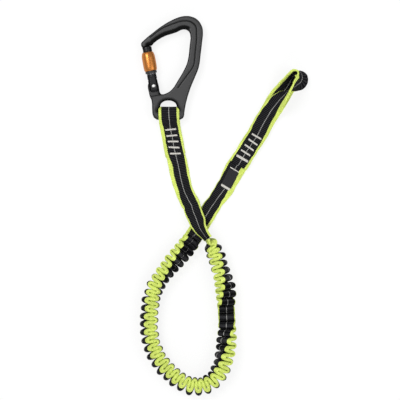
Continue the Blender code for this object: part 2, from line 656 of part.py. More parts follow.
def make_gate(gate):
    """Gate with fork cheeks, rivet hole, spring bore and nose pocket."""
    radius = GATE_DIAMETER / 2
    arm = piece("gate_arm", profile_mesh("gate_arm", gate_profile()), "gate_black", gate, ALONG_Y)
    turned(arm, 28)
    outline = [(radius, GATE_END + MARGIN, 1), (-radius, GATE_END + MARGIN, 1), (-radius, 0, 1)]
    for step in range(1, 8):
        angle = math.pi + step * math.pi / 8
        outline.append((radius * math.cos(angle), radius * math.sin(angle), 1))
    outline.append((radius, 0, 1))
    block = plate_mesh("fork_outline", [outline], GATE_DIAMETER + 2 * MARGIN, 1)
    rounded = cutter("fork_outline", block, gate)
    combine(arm, rounded, "INTERSECT")
    for side in (1, -1):
        flat = box_mesh("cheek_flat", (GATE_DIAMETER + MARGIN, FLAT_END + GATE_DIAMETER, GATE_DIAMETER),
                        (0, (FLAT_END - GATE_DIAMETER) / 2, side * (CHEEK_FACE + radius)))
        combine(arm, cutter(f"cheek_flat_{side}", flat, gate), "DIFFERENCE")
    slot = box_mesh("fork_slot", (GATE_DIAMETER + MARGIN, FORK_DEPTH + GATE_DIAMETER, 2 * SLOT_HALF),
                    (0, (FORK_DEPTH - GATE_DIAMETER) / 2, 0))
    combine(arm, cutter("fork_slot", slot, gate), "DIFFERENCE")
    hole = rod_mesh("gate_hole", RIVET_DIAMETER / 2 + RUNNING, -GATE_DIAMETER, GATE_DIAMETER, segments=24)
    combine(arm, cutter("gate_hole", hole, gate), "DIFFERENCE")
    bore = rod_mesh("spring_bore", SPRING_BORE / 2, FORK_DEPTH - MARGIN / 2, SPRING_BORE_END, "Y", 24)
    combine(arm, cutter("spring_bore", bore, gate), "DIFFERENCE")
    head, neck = nose_t(POCKET_CLEARANCE, GATE_DIAMETER, "nose_pocket")
    pocket = cutter("nose_pocket", head, gate)
    combine(pocket, cutter("nose_pocket_neck", neck, gate), "UNION")
    combine(arm, pocket, "DIFFERENCE")
    return arm


def make_rivet(gate):
    """Hinge pin with a low dome at both ends."""
    pin = RIVET_DIAMETER / 2
    head = RIVET_HEAD / 2
    inner = CHEEK_FACE + FIT
    outer = inner + RIVET_HEAD_HEIGHT
    upper = [(0, outer), (pin * 0.8, outer), (head, inner + RIVET_HEAD_EDGE), (head, inner), (pin, inner)]
    points = upper + [(radius, -height) for radius, height in reversed(upper)]
    turned(piece("gate_rivet", profile_mesh("gate_rivet", points), "steel", gate), 24)


def make_plunger(gate):
    """Plunger that the spring presses onto the hinge tongue, and the spring behind it."""
    rod = PLUNGER_ROD / 2
    collar = SPRING_BORE / 2 - RUNNING
    shoulder = PLUNGER_TOP - PLUNGER_COLLAR
    points = [(0, PLUNGER_TOP), (collar, PLUNGER_TOP), (collar, shoulder), (rod, shoulder),
              (rod, PLUNGER_TIP + PLUNGER_CHAMFER), (rod - PLUNGER_CHAMFER, PLUNGER_TIP), (0, PLUNGER_TIP)]
    turned(piece("gate_plunger", profile_mesh("gate_plunger", points), "steel", gate, ALONG_Y), 24)
    wire = SPRING_WIRE / 2
    coil = SPRING_BORE / 2 - RUNNING - wire
    start = PLUNGER_TOP + FIT + wire
    end = SPRING_BORE_END - FIT - wire
    count = SPRING_TURNS * 8 + 1
    turn = np.linspace(0, math.tau * SPRING_TURNS, count)
    helix = np.stack([coil * np.cos(turn), np.linspace(start, end, count), coil * np.sin(turn)], axis=1)
    curve = tube_curve("gate_spring", helix, [wire] * count, 1)
    piece("gate_spring", mesh_of_curve(curve, "gate_spring"), "steel", gate)


def make_sleeve(gate):
    """Lock sleeve with its shoulders and grip groove, and the guide ring under it."""
    radius = SLEEVE_RADIUS
    top, bottom = SLEEVE_TOP, SLEEVE_BOTTOM
    middle = (top + bottom) / 2
    lip = SLEEVE_BORE + SLEEVE_END_WALL
    grooved = radius - SLEEVE_GROOVE
    brim = middle + SLEEVE_GROOVE_HALF + SLEEVE_GROOVE
    below = middle - SLEEVE_GROOVE_HALF - SLEEVE_GROOVE
    points = [
        (lip, top), (lip + 0.5 * MM, top - 0.6 * MM), (radius - 0.1 * MM, top - SLEEVE_SHOULDER),
        (radius, top - SLEEVE_SHOULDER * 1.25), (radius, brim), (grooved, middle + SLEEVE_GROOVE_HALF),
        (grooved, middle - SLEEVE_GROOVE_HALF), (radius, below), (radius, bottom + SLEEVE_FOOT),
        (radius - 0.4 * MM, bottom + SLEEVE_FOOT * 0.55), (lip, bottom), (SLEEVE_BORE, bottom),
        (SLEEVE_BORE, top)]
    sleeve = piece("lock_sleeve", profile_mesh("lock_sleeve", points, True), "sleeve_orange", gate, ALONG_Y)
    turned(sleeve, 32)
    high = bottom - FIT
    low = high - RING_LENGTH
    outer = SLEEVE_BORE + RING_WALL
    points = [(outer - RING_CHAMFER, high), (outer, high - RING_CHAMFER), (outer, low + RING_CHAMFER),
              (outer - RING_CHAMFER, low), (SLEEVE_BORE, low), (SLEEVE_BORE, high)]
    ring = piece("sleeve_guide_ring", profile_mesh("guide_ring", points, True), "guide_ring", gate, ALONG_Y)
    turned(ring, 28)


def carabiner_strap_rows():
    """The tail on the floor, the wrap square round the eye bar and the front run over the tail."""
    front = np.array(world_rows(CARABINER_ROUTE))
    centre = EYE_X + STRAP_OFFSET
    plan = even_path([(centre, BAR_Y, 0, 0)] + [(x, y, 0, 0) for x, y, _, _ in front], STRAP_STEP)
    along = distances(plan)
    tail = plan[(along > STRAP_STEP / 2) & (along < TAIL_LENGTH)][::-1].copy()
    tail[:, 2] = floor_height(0, 0)
    first = Vector((front[0, 1] - BAR_Y, front[0, 2] - MID_Z))
    tangent = math.atan2(first.y, first.x) % math.tau - math.acos(WRAP_RADIUS / first.length)
    turn = np.linspace(-math.pi / 2, tangent, WRAP_STEPS)
    wrap = np.column_stack([np.full(WRAP_STEPS, centre), BAR_Y + WRAP_RADIUS * np.cos(turn),
                            MID_Z + WRAP_RADIUS * np.sin(turn), np.zeros(WRAP_STEPS)])
    run = even_path(np.vstack([wrap[-1:], front]), STRAP_STEP)[1:]
    return np.vstack([tail, wrap, run]), len(tail) + WRAP_STEPS


def make_carabiner_strap():
    """Webbing from the sewn eye to the gathered stretch, with its five bar tacks."""
    rows, front_start = carabiner_strap_rows()
    tape("carabiner_strap", rows, WEB_WIDTH, WEB_THICKNESS)
    front = rows[front_start - 1:]
    first = np.interp(FIRST_TACK, BAR_Y - front[:, 1], distances(front))
    tacks("carabiner_tack", front, [first + CARABINER_TACK_PITCH * k for k in range(TACK_COUNT)])


def gathered_path():
    """Middle line of the gathered stretch: from one strap's end to the other's, raised between them."""
    path = even_path([(x, y, 0, 0) for x, y, _, _ in world_rows([(*row, 0) for row in GATHERED_ROUTE])],
                     FOLD_PITCH / 2)
    along = distances(path)
    high = FLOOR_GAP + FOLD_RADIUS
    path[:, 2] = high
    for place, route in ((along, CARABINER_ROUTE[-1]), (along[-1] - along, LOOP_ROUTE[0])):
        rise = np.clip(place / RISE_LENGTH, 0, 1)
        rise = rise * rise * (3 - 2 * rise)
        path[:, 2] -= (high - floor_height(route[2], 0)) * (1 - rise)
    return path[:, :3]


def make_gathered():
    """Webbing gathered into even folds over an elastic core: a ribbed tube with its bore."""
    path = gathered_path()
    length = distances(path)[-1]
    folds = int((length - 2 * TAPER_LENGTH) / FOLD_PITCH)
    pitch = (length - 2 * TAPER_LENGTH) / folds
    middle = TAPER_LENGTH + pitch / 2 * np.arange(2 * folds + 1)
    ends = [SEAM_GAP, TAPER_LENGTH / 2]
    spots = np.concatenate([ends, middle, length - np.array(ends[::-1])])
    radii = np.where(np.arange(len(middle)) % 2 == 1, FOLD_RADIUS, VALLEY_RADIUS)
    waist = (END_RADIUS + VALLEY_RADIUS) / 2
    radii = np.concatenate([[END_RADIUS, waist], radii, [waist, END_RADIUS]])
    points = np.array([read_at(path, spot) for spot in spots])
    web = mesh_of_curve(tube_curve("elastic_web", points, radii), "elastic_web")
    web = piece("elastic_web", web, "webbing")
    core = points[::2]
    bore = extended(core, MARGIN)
    bore_radius = CORE_DIAMETER / 2 + FIT / math.cos(math.pi / 8)
    tool = tube_curve("web_bore", bore, [bore_radius] * len(bore))
    combine(web, cutter("web_bore", mesh_of_curve(tool, "web_bore")), "DIFFERENCE")
    curve = tube_curve("elastic_core", core, [CORE_DIAMETER / 2] * len(core))
    piece("elastic_core", mesh_of_curve(curve, "elastic_core"), "elastic")


def extended(points, reach):
    """A path whose first and last points are moved outwards by reach."""
    longer = points.copy()
    first = points[0] - points[1]
    last = points[-1] - points[-2]
    longer[0] += first / np.linalg.norm(first) * reach
    longer[-1] += last / np.linalg.norm(last) * reach
    return longer


def make_loop_strap():
    """Webbing of the soft loop: main run, back layer, twisted tip, front layer and sewn tail."""
    rows = even_path(world_rows(LOOP_ROUTE), STRAP_STEP)
    tape("loop_strap", rows, WEB_WIDTH, WEB_THICKNESS)
    length = distances(rows)[-1]
    last = length - LOOP_TACK_FROM_TAIL
    tacks("loop_tack", rows, [last - LOOP_TACK_PITCH * k for k in range(TACK_COUNT)])
    spots = [PATCH_FROM_START - PATCH_LENGTH, PATCH_FROM_START]
    tacks("patch_tack", rows, spots)
    make_patch(rows, spots)


def make_patch(rows, spots):
    """Bare sewn patch between its two bar tacks."""
    margin = TACK_BREADTH / 2 + 2 * FIT
    reach = np.linspace(spots[0] + margin, spots[1] - margin, 6)
    patch = np.array([read_at(rows, spot) for spot in reach])
    patch[:, 2] += WEB_THICKNESS / 2 + FIT + PATCH_HEIGHT / 2
    tape("id_patch", patch, PATCH_WIDTH, PATCH_HEIGHT)


def build():
    """Make every piece of the tether."""
    swing = pivot("carabiner_pivot", EYE_BAR)
    gate = pivot("gate_pivot", RIVET, GATE_LEAN, swing)
    make_body(swing, gate)
    make_gate(gate)
    make_rivet(gate)
    make_plunger(gate)
    make_sleeve(gate)
    make_carabiner_strap()
    make_gathered()
    make_loop_strap()


build()
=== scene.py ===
"""Looks of an elastic safety tether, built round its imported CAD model.

The file is laid out as an add-on: each operator makes one piece or one group of like pieces, and main
runs them in order. Everything is in metres, and the tether lies on the plane z = 0.
"""

import json
import math

import bmesh
import bpy
import numpy as np
from bpy.props import FloatProperty, FloatVectorProperty, IntProperty, PointerProperty
from bpy.types import Operator, Panel, PropertyGroup
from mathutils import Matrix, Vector


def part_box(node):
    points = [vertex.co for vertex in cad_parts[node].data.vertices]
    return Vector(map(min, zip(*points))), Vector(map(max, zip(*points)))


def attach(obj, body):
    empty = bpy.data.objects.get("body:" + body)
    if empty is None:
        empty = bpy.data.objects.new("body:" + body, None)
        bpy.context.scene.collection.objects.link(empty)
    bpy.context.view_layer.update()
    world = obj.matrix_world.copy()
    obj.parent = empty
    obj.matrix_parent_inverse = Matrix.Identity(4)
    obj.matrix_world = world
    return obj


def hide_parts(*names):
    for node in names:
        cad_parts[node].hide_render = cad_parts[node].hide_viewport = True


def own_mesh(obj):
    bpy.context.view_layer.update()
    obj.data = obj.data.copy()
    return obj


bl_info = {
    "name": "Elastic Safety Tether",
    "version": (1, 0, 0),
    "blender": (4, 5, 0),
    "location": "3D View > Sidebar > Tether",
    "description": "Carabiner, gathered webbing and soft loop of a safety tether",
    "category": "Object",
}

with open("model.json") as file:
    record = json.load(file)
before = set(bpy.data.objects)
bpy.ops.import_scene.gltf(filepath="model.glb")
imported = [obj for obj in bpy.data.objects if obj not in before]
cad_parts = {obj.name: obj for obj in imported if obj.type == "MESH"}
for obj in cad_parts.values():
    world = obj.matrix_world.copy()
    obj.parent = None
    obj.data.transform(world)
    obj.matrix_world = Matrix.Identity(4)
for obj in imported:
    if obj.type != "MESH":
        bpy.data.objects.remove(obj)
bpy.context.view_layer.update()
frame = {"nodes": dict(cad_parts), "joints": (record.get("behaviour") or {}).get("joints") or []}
JOINTS = {joint["name"]: joint for joint in frame["joints"]}

MM = 0.001
UP = np.array([0.0, 0.0, 1.0])

# Places given by the frame
EYE_BAR = np.array(JOINTS["carabiner_swing"]["pos_m"])
RIVET = np.array(JOINTS["gate_open"]["pos_m"])
GATE_AXIS = np.array(JOINTS["sleeve_turn"]["axis"]) / np.linalg.norm(JOINTS["sleeve_turn"]["axis"])
GATE_SIDE = np.cross(GATE_AXIS, UP) / np.linalg.norm(np.cross(GATE_AXIS, UP))
BODY_LOW, BODY_HIGH = (np.array(corner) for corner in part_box("carabiner_body"))
BODY_MIDDLE = (BODY_LOW + BODY_HIGH) / 2

# Seats of the webbing, as in the CAD
EYE_BAR_RADIUS = 5.0 * MM
FIT = 0.3 * MM                      # between layers that lie on each other
FLOOR_GAP = 0.2 * MM
LAYER = 2.4 * MM                    # thickness of one layer in a pile
TAIL_LENGTH = 49.0 * MM             # of the eye's sewn end, just past its last bar tack
STRAP_OFFSET = 0.3 * MM             # of the strap's middle from the bar's
EYE_BULGE = 3.0 * MM                # by which the stiff webbing stands off the bar at its turn
CROSSING_ROLL = 62.0                # of the strap where it passes over the other and gathers, in degrees
CROSSING_LIFT = 8.0 * MM
CROSSING_LENGTH = 34.0 * MM
ROW_STEP = 0.42 * MM                # between two rows of a strap
SHIFT_REACH = 15                    # rows to each side over which a listed shift or width is smoothed
TAIL_RAMP = 30                      # rows over which the tail rises to the bar
LOOP_LIFT = 0.2 * MM                # of the loop strap above the heights of its layers
RIB_HEIGHT = 0.12 * MM
SAG = 0.10 * MM                     # of the flat faces between the strap's edges

# Gathered stretch
ROWS_PER_FOLD = 28
LINE_STEP = 0.5 * MM                # between two rows of its middle line
TWIST_REACH = 20                    # rows to each side over which the listed twist is smoothed
START_RAMP = 17.0 * MM              # along which its middle line comes down from the eye's strap
END_RAMP = 15.0 * MM                # and goes down to the loop's
END_HALF = 10.8 * MM                # half width of the tape where the folds have faded away
PULL_BACK = 0.5 * MM                # by which each fold leans to and fro along the line
WORN_FROM = 0.86                    # share of the stretch past which its tracer is worn off
WORN_HALF = 1.5                     # half width of the strip it leaves bare, in millimetres
GATHER_THICKNESS = 20.0 * MM        # across the folds

# Bar tacks and patch
FIRST_TACK = 16.6 * MM              # in front of the eye bar
CARABINER_TACK_PITCH = 7.3 * MM
LOOP_TACK_PITCH = 7.8 * MM
LOOP_TACK_FROM_TAIL = 9.8 * MM
PATCH_ENDS = (81.5 * MM, 104.8 * MM)
PATCH_LIFT = 1.55 * MM              # of the patch above the strap's middle
PATCH_HALF = 6.5 * MM
PATCH_THICK = 0.3 * MM              # half its thickness
PATCH_INSET = 1.3 * MM              # from the middle of its bar tacks to its ends
PATCH_ROWS = 60
TACK_COUNT = 5
TACK_SKEW = (-5.0, -7.0, -9.0, -11.0, -13.0)    # of the eye's bar tacks, in degrees
TACK_DEPTH = 1.05 * MM              # of the thread's holes from the strap's middle
TACK_HUMP = 0.28 * MM               # by which the thread stands up between its holes
TACK_BED = 0.26 * MM                # half height of the bed of thread
PINCH_DEPTH = 0.42 * MM             # by which a bar tack presses the webbing's faces in
PINCH_REACH = 1.3 * MM              # of that dent along the strap
WIDE_TACKS = {"loop_tack_1": (15.9 * MM, 3.0 * MM), "patch_tack_1": (11.8 * MM, 2.9 * MM),
              "patch_tack_2": (12.0 * MM, 1.2 * MM)}

# Carabiner
EYE_REACH = 20.0 * MM               # within which the body's inner rim belongs to its eye
EYE_DRAW = 1.5 * MM                 # by which the eye's side walls stand further in than the CAD's
BAR_HALF = 13.2                     # half length of the eye's round bar, in millimetres
FORK_ROOM = 12.2 * MM               # from the rivet down to the step of the body's full thickness
GATE_VOXEL = 0.3 * MM
GATE_RADIUS = 5.7                   # in millimetres, as are the next five
GATE_REACH = 7.3                    # of the fork's cheeks below the rivet
GATE_THREAD = (11.4, 15.6)          # where the thread shows under the sleeve, from the rivet
THREAD_CREST = 14.6
GATE_END = 41.0                     # past which the gate is fuller
SLEEVE_BORE = 6.0                   # radius inside the sleeve and its ring
SPRING_TURNS = 6
SPRING_RADIUS = 2.0 * MM            # of the coil's middle line
SPRING_WIRE = 0.4 * MM              # half the wire's thickness
SPRING_START = 14.3 * MM            # from the rivet along the gate
SPRING_END = 31.3 * MM

# Routes of the webbing in millimetres from the eye bar: across, along, then the height in layers of
# webbing, and on the loop strap the roll of the tape in degrees
CARABINER_ROUTE = [(0.7, -13.8, 1.2), (1.6, -17.5, 1.02), (3.6, -24.5, 1), (6.4, -36.2, 1), (8.3, -47, 1),
    (10.7, -57.4, 0.8), (13.1, -68.4, 0.1), (15.8, -80.4, 0), (19.5, -91.2, 0.2), (23.5, -101.4, 0.9),
    (26.9, -112.8, 2.1), (30.2, -121.8, 2.8), (34.2, -131.2, 3.1), (39.9, -140.8, 3.1), (46.3, -148.6, 3)]
GATHERED_ROUTE = [(46.3, -148.6), (54, -159.4), (60.2, -176), (64.7, -193.6), (68.7, -212.4), (70.3, -233),
    (70.8, -259.6), (68.7, -281.5), (61.9, -303.8), (53.7, -315.6), (45.5, -321.6), (35.7, -324.4),
    (26.3, -323.6), (17.9, -320.2), (3.3, -309.2), (-9.5, -295.2), (-18.3, -277.6), (-22.5, -258.6),
    (-22.5, -238.9), (-20.3, -220.1), (-13.9, -201.6), (-5.3, -187.8), (4.9, -175.6), (15.7, -163.6),
    (23.7, -153.4)]
LOOP_ROUTE = [(23.7, -153.4, 1.6), (30.3, -143.6, 1.35), (35.7, -134.6, 1), (41.7, -124.8, 0.6),
    (49.3, -110.8, 0.1), (55.6, -101.1, 0), (62.9, -91.6, 0), (71.6, -77.2, 0), (78.6, -64.4, 0),
    (86.7, -52.1, 0), (94.7, -39, 0), (102.3, -26.6, 0), (110.3, -14, 0), (118.7, -2.2, 0), (125.9, 8.4, 0),
    (132.1, 17.3, 0, 4), (138.9, 28.5, 0, 20), (144.3, 38.6, 0, 39), (148.5, 47.3, 0, 61),
    (152, 52, 0.05, 74), (155.9, 53.3, 0.15, 92), (159.5, 50.4, 0.3, 109), (161.3, 46.6, 0.6, 120),
    (161.2, 42.8, 0.9, 125), (159.9, 39.4, 1.2, 124), (155.8, 35, 1.6, 112), (151.6, 31.6, 1.95, 99),
    (147, 28.4, 2.3, 83), (141.9, 23.8, 2.5, 67), (135.6, 18.6, 2.2, 42), (129.4, 11.6, 1.5, 15),
    (123.5, 5, 1.1, 4), (116.4, -5.2, 1), (109.4, -17, 1), (104.5, -24.8, 1), (96.6, -37.2, 1),
    (88.5, -50.4, 1), (83, -59.2, 1)]

# How far the sewn eye's webbing lies towards +X, in millimetres at distances in front of the eye bar
CARABINER_SIDE = [(0, 0.3), (5, 0.7), (11, 1.5), (17, 1.4), (23, 0.6), (28, 0.5), (34, 0.1), (40, -0.3),
    (46, 0.3), (52, 0.5), (58, 0.4), (69, 0.2), (81, 0.2), (92, -0.3), (98, 0.2), (103, 0.6), (108, 2.6),
    (113.5, 1.9), (119, 2), (125, 2.4), (130, 2.2), (135.5, 1.7), (140, 2.2), (145, 1.8), (149, 1.5)]

# How far the cloth lies to the left of its route, in millimetres at shares of its length
GATHER_SHIFT = [(0, 0.4), (0.06, -0.3), (0.09, -0.4), (0.13, 0.8), (0.155, 0.4), (0.18, -0.4), (0.2, -1),
    (0.24, -0.7), (0.3, -0.5), (0.33, -0.4), (0.37, 0.3), (0.41, 1.2), (0.44, 1.2), (0.48, 0.7), (0.55, 0.5),
    (0.7, 0.2), (0.78, 0.5), (0.81, 0.4), (0.85, -0.5), (0.88, -1), (0.92, -0.6), (0.96, -0.8), (1, -0.8)]
LOOP_SHIFT = [(0, -0.6), (0.09, -0.9), (0.12, -1.2), (0.15, -1.8), (0.18, -1.4), (0.21, -1.7), (0.24, -1.2),
    (0.27, -0.9), (0.32, -0.9), (0.35, -0.4), (0.38, -1), (0.41, -0.7), (0.44, 0.3), (0.47, 0.8), (0.5, 1.8),
    (0.53, 1.8), (0.56, 0.6), (0.59, 0), (0.62, 0), (0.645, -1.8), (0.67, -2.2), (0.69, -3.3), (0.71, -2.6),
    (0.74, -1.2), (0.76, -0.9), (0.79, -1.2), (0.82, -0.1), (0.86, 0.4), (0.9, 1.4), (0.94, 0.9),
    (0.955, 0.4), (1, 1.1)]

# Further roll of the loop strap where it turns over at the tip, in degrees at shares of its length
LOOP_ROLL = [(0.62, 0), (0.65, 7), (0.69, 9), (0.715, 6), (0.74, 0)]

# Turn of the gathered webbing about its own line in degrees, the folded tape's thickness against its
# usual one, and the swelling of its folds, all at shares of the gathered stretch
GATHER_TWIST = [(0, 80), (0.015, 92), (0.03, 99), (0.065, 107), (0.09, 116), (0.11, 125), (0.133, 136),
    (0.156, 150), (0.18, 166), (0.205, 179), (0.25, 183), (0.27, 199), (0.285, 212), (0.31, 225),
    (0.335, 233), (0.36, 245), (0.4, 260), (0.425, 269), (0.46, 285), (0.5, 288), (0.66, 290), (0.76, 292),
    (0.785, 279), (0.805, 266), (0.835, 248), (0.88, 231), (0.92, 217), (0.94, 210), (0.96, 203),
    (0.985, 194), (1, 186)]
GATHER_PLUMP = [(0, 0.9), (0.1, 0.95), (0.15, 0.8), (0.27, 0.76), (0.32, 0.9), (0.4, 1), (0.82, 1),
    (0.92, 0.86), (1, 0.82)]
GATHER_SWELL = [(0, 0.6), (0.02, 0.86), (0.05, 1), (0.11, 1), (0.135, 1.09), (0.17, 1.09), (0.2, 1),
    (0.28, 1), (0.3, 1.09), (0.36, 1.09), (0.4, 1), (0.5, 0.98), (0.86, 0.98), (0.92, 1.06), (0.98, 1.06),
    (1, 1)]

# Half widths in millimetres that the webbing shows, at shares of each strap's length
CARABINER_STRAP_HALF = [(0, 12.2), (0.183, 12.4), (0.316, 12.4), (0.357, 12.1), (0.397, 12.3), (0.448, 12.1),
    (0.5, 12), (0.551, 11.6), (0.612, 11.7), (0.653, 11.7), (0.683, 11.2), (0.719, 10.5), (0.755, 10.8),
    (0.786, 11.4), (0.811, 10.8), (0.857, 10.3), (0.918, 10), (1, 10.4)]
LOOP_STRAP_HALF = [(0, 10.6), (0.06, 10.4), (0.11, 10.4), (0.136, 10.6), (0.151, 9.7), (0.18, 10.3),
    (0.2, 11.2), (0.227, 10.9), (0.245, 11.9), (0.27, 12), (0.3, 11.8), (0.36, 11.1), (0.42, 11.7),
    (0.46, 11.7), (0.485, 12), (0.52, 12.3), (0.55, 11.9), (0.575, 12.5), (0.61, 12.5), (0.64, 12.7),
    (0.7, 12.5), (0.75, 11.4), (0.78, 11.4), (0.86, 11.6), (0.92, 11.2), (1, 11.9)]

# Distance in millimetres from the middle to the coloured edge, on the -across side and the +across side
CARABINER_BANDS = [(0, 8.5, 8.5), (0.2, 9.3, 9.3), (0.36, 9.2, 9.1), (0.39, 9.5, 8.1), (0.436, 9.3, 8.4),
    (0.462, 9.4, 9.1), (0.49, 10.2, 8.5), (0.513, 10.3, 9), (0.538, 10.9, 8.8), (0.563, 10.1, 7.5),
    (0.59, 9.8, 7), (0.64, 9.3, 7.8), (0.665, 9.9, 7.4), (0.716, 10.3, 7.6), (0.741, 10, 9),
    (0.767, 9.9, 9.6), (0.792, 9, 9.6), (0.82, 10.5, 11.2), (0.87, 10.3, 10.5), (0.92, 10.6, 10),
    (1, 10.8, 10)]
LOOP_BANDS = [(0, 12.6, 8.5), (0.03, 12.6, 8.5), (0.055, 8.9, 9), (0.1, 8.9, 9.5), (0.12, 8.9, 11.5),
    (0.15, 9.6, 11.8), (0.167, 7.5, 11.8), (0.18, 7.3, 11.8), (0.197, 5.5, 11.8), (0.227, 4.9, 11.8),
    (0.242, 5.4, 10.9), (0.26, 5.2, 10), (0.285, 6, 10.3), (0.3, 8.7, 9.4), (0.4, 8.6, 9.1), (0.6, 8.5, 8.9),
    (0.625, 8.5, 8.7), (0.635, 12.9, 8.7), (0.69, 12.9, 8.7), (0.7, 9, 8.5), (0.725, 11.3, 6.5),
    (0.775, 11.4, 5.9), (0.79, 10, 6.6), (0.8, 10, 7.4), (0.82, 11.3, 7.8), (0.85, 11, 8.2),
    (0.87, 11.2, 8.5), (0.885, 10.4, 8.5), (0.9, 11.3, 9.3), (0.93, 11.1, 9.7), (0.95, 9.9, 10.2),
    (0.97, 10.2, 9.6), (1, 10.8, 8.6)]
GATHER_BANDS = [(0, 0.9, 0.9), (0.018, 0.9, 0.9), (0.023, 10.5, 7.6), (0.05, 11.7, 7.6), (0.19, 11.6, 8.2),
    (0.21, 11.3, 11), (0.25, 11.3, 11.3), (0.285, 8.2, 11.7), (0.34, 7.6, 11.8), (0.86, 7.7, 11.8),
    (0.94, 8.8, 11.8), (1, 9.2, 11.8)]

# Middle line of the channel forged in both faces of the carabiner's body, and a point inside its opening,
# in millimetres from the middle of the body
CHANNEL = [(-25.6, 36.8), (-12.1, 46.9), (2.6, 53.05), (12.1, 55.85), (21.6, 55.25), (28.1, 50.05),
    (29.3, 40.25), (27.7, 18.25), (25.5, 2.25), (17.1, -10.25), (7.1, -23.75)]
OPENING = (0.0, 12.0)


def length(name, millimetres, about):
    """A length among the settings."""
    return FloatProperty(name=name, description=about, default=millimetres * MM, unit="LENGTH")


def tint(name, value, about):
    """A colour among the settings."""
    return FloatVectorProperty(name=name, description=about, default=value, subtype="COLOR")


class TetherWebbing(PropertyGroup):
    """Sizes and colours of the webbing."""

    thickness: length("Thickness", 2.5, "Of the flat webbing")
    width: length("Width", 24.8, "Nominal width of the webbing")
    rib_pitch: length("Rib pitch", 2.05, "Distance between two cross ribs of the weave")
    cloth: tint("Cloth", (0.0015, 0.0015, 0.002), "Dark yarn")
    # Rib crest: painted highlight, the dark yarn made lighter on the rib crests
    crest_highlight: tint("Rib crest", (0.038, 0.038, 0.042), "Dark yarn on the rib crests")
    edge: tint("Edge", (0.79, 0.93, 0.22), "Bright edge yarn")
    # Edge shade: painted shade on the edge yarn between the ribs
    edge_rib_shade: tint("Edge shade", (0.60, 0.72, 0.12), "Edge yarn between the ribs")
    tracer: tint("Tracer", (0.42, 0.42, 0.40), "Tracer yarn")


class TetherGather(PropertyGroup):
    """Sizes of the gathered stretch."""

    folds: IntProperty(name="Folds", description="Over the whole stretch", default=46)
    depth_middle: length("Depth, middle", 8.8, "Fold depth at the tape's middle")
    depth_edge: length("Depth, edge", 5.2, "Fold depth at the tape's edges")
    half_width: length("Half width", 10.2, "Half the gathered tape's width")
    half_thickness: length("Half thickness", 2.35, "Half the gathered tape's thickness")
    height: length("Height", 10.7, "Of the middle line above the floor")


class TetherThread(PropertyGroup):
    """Sizes and colour of the sewing thread."""

    radius: length("Thread radius", 0.24, "Of the bar tack thread")
    tack_length: length("Tack length", 13.0, "Of a bar tack")
    tack_breadth: length("Tack breadth", 1.9, "Of a bar tack")
    stitches: IntProperty(name="Stitches", description="Across one bar tack", default=36)
    colour: tint("Thread", (0.70, 0.68, 0.63), "Thread")


class TetherMetal(PropertyGroup):
    """Sizes and colours of the carabiner."""

    voxel: length("Voxel", 0.45, "Even quads of the forged body")
    channel_depth: length("Channel depth", 0.75, "Of the forged channel")
    slope_width: length("Slope width", 5.0, "Of the sloped inner side of the upper arm")
    slope_drop: length("Slope drop", 3.4, "Of that slope at the opening's edge")
    body: tint("Body", (0.040, 0.040, 0.041), "Anodised grey of the body")
    gate: tint("Gate", (0.014, 0.014, 0.016), "Black of the gate")
    sleeve: tint("Sleeve", (0.53, 0.195, 0.045), "Copper orange of the lock sleeve")
    # Black of a ring below the sleeve that stands for the painted shade of the sleeve's lower chamfer
    ring: tint("Ring", (0.012, 0.011, 0.011), "Black of the guide ring")
    steel: tint("Steel", (0.80, 0.80, 0.79), "Bright steel")


class TetherStage(PropertyGroup):
    """Camera and floor."""

    view_width: length("View width", 480.0, "Width of the photograph at the tether")
    view_x: length("View X", 33.6, "Middle of the photograph")
    view_y: length("View Y", -158.3, "Middle of the photograph")
    camera_height: length("Camera height", 2400.0, "Above the tether")
    floor: tint("Floor", (0.9, 0.9, 0.9), "Of the floor")


class TetherSettings(PropertyGroup):
    """All settings of the tether."""

    webbing: PointerProperty(type=TetherWebbing)
    gather: PointerProperty(type=TetherGather)
    thread: PointerProperty(type=TetherThread)
    metal: PointerProperty(type=TetherMetal)
    stage: PointerProperty(type=TetherStage)


def settings():
    """The settings held by the scene."""
    return bpy.context.scene.tether


def ease(x):
    """Smooth step: 3x^2 - 2x^3 between 0 and 1."""
    x = np.clip(x, 0.0, 1.0)
    return x * x * (3 - 2 * x)


def fade(distance, width):
    """1 up to a line and smoothly down to 0 over the width beyond it."""
    return 1 - ease(distance / width)


def bell(x):
    """Bell curve exp(-x^2)."""
    return np.exp(-x ** 2)


def unit(vectors):
    """Vectors scaled to length one."""
    return vectors / np.linalg.norm(vectors, axis=-1, keepdims=True)


def read(table, at):
    """The value of a list of (place, value) at the places given, by straight lines."""
    return np.interp(at, *np.array(table).T)


def bell_mean(values, reach, **ends):
    """Values averaged with their neighbours by a bell that ends that many of them away."""
    weight = np.hanning(2 * reach + 1)
    return np.convolve(np.pad(values, reach, **(ends or {"mode": "edge"})), weight / weight.sum(), "valid")


def run_length(points):
    """Distance along a path at each point: the running sum of its steps."""
    return np.concatenate([[0], np.cumsum(np.linalg.norm(np.diff(points[:, :3], axis=0), axis=1))])


def read_rows(rows, distances):
    """The rows of a path at distances along it."""
    along = run_length(rows)
    return np.stack([np.interp(distances, along, column) for column in rows.T], axis=1)


def even_rows(rows, step):
    """A cubic through the rows with slopes from their neighbours, read at an even step along it."""
    rows = np.array(rows, dtype=float)
    at = run_length(rows)
    slope = np.gradient(rows, at, axis=0)
    where = np.linspace(0, at[-1], 2000)
    left = np.clip(np.searchsorted(at, where, side="right") - 1, 0, len(at) - 2)
    span = (at[left + 1] - at[left])[:, None]
    t = (where - at[left])[:, None] / span
    fine = ((2 * t ** 3 - 3 * t ** 2 + 1) * rows[left] + (t ** 3 - 2 * t ** 2 + t) * span * slope[left]
            + (3 * t ** 2 - 2 * t ** 3) * rows[left + 1] + (t ** 3 - t ** 2) * span * slope[left + 1])
    total = run_length(fine)[-1]
    return read_rows(fine, np.linspace(0, total, max(2, round(total / step)) + 1))


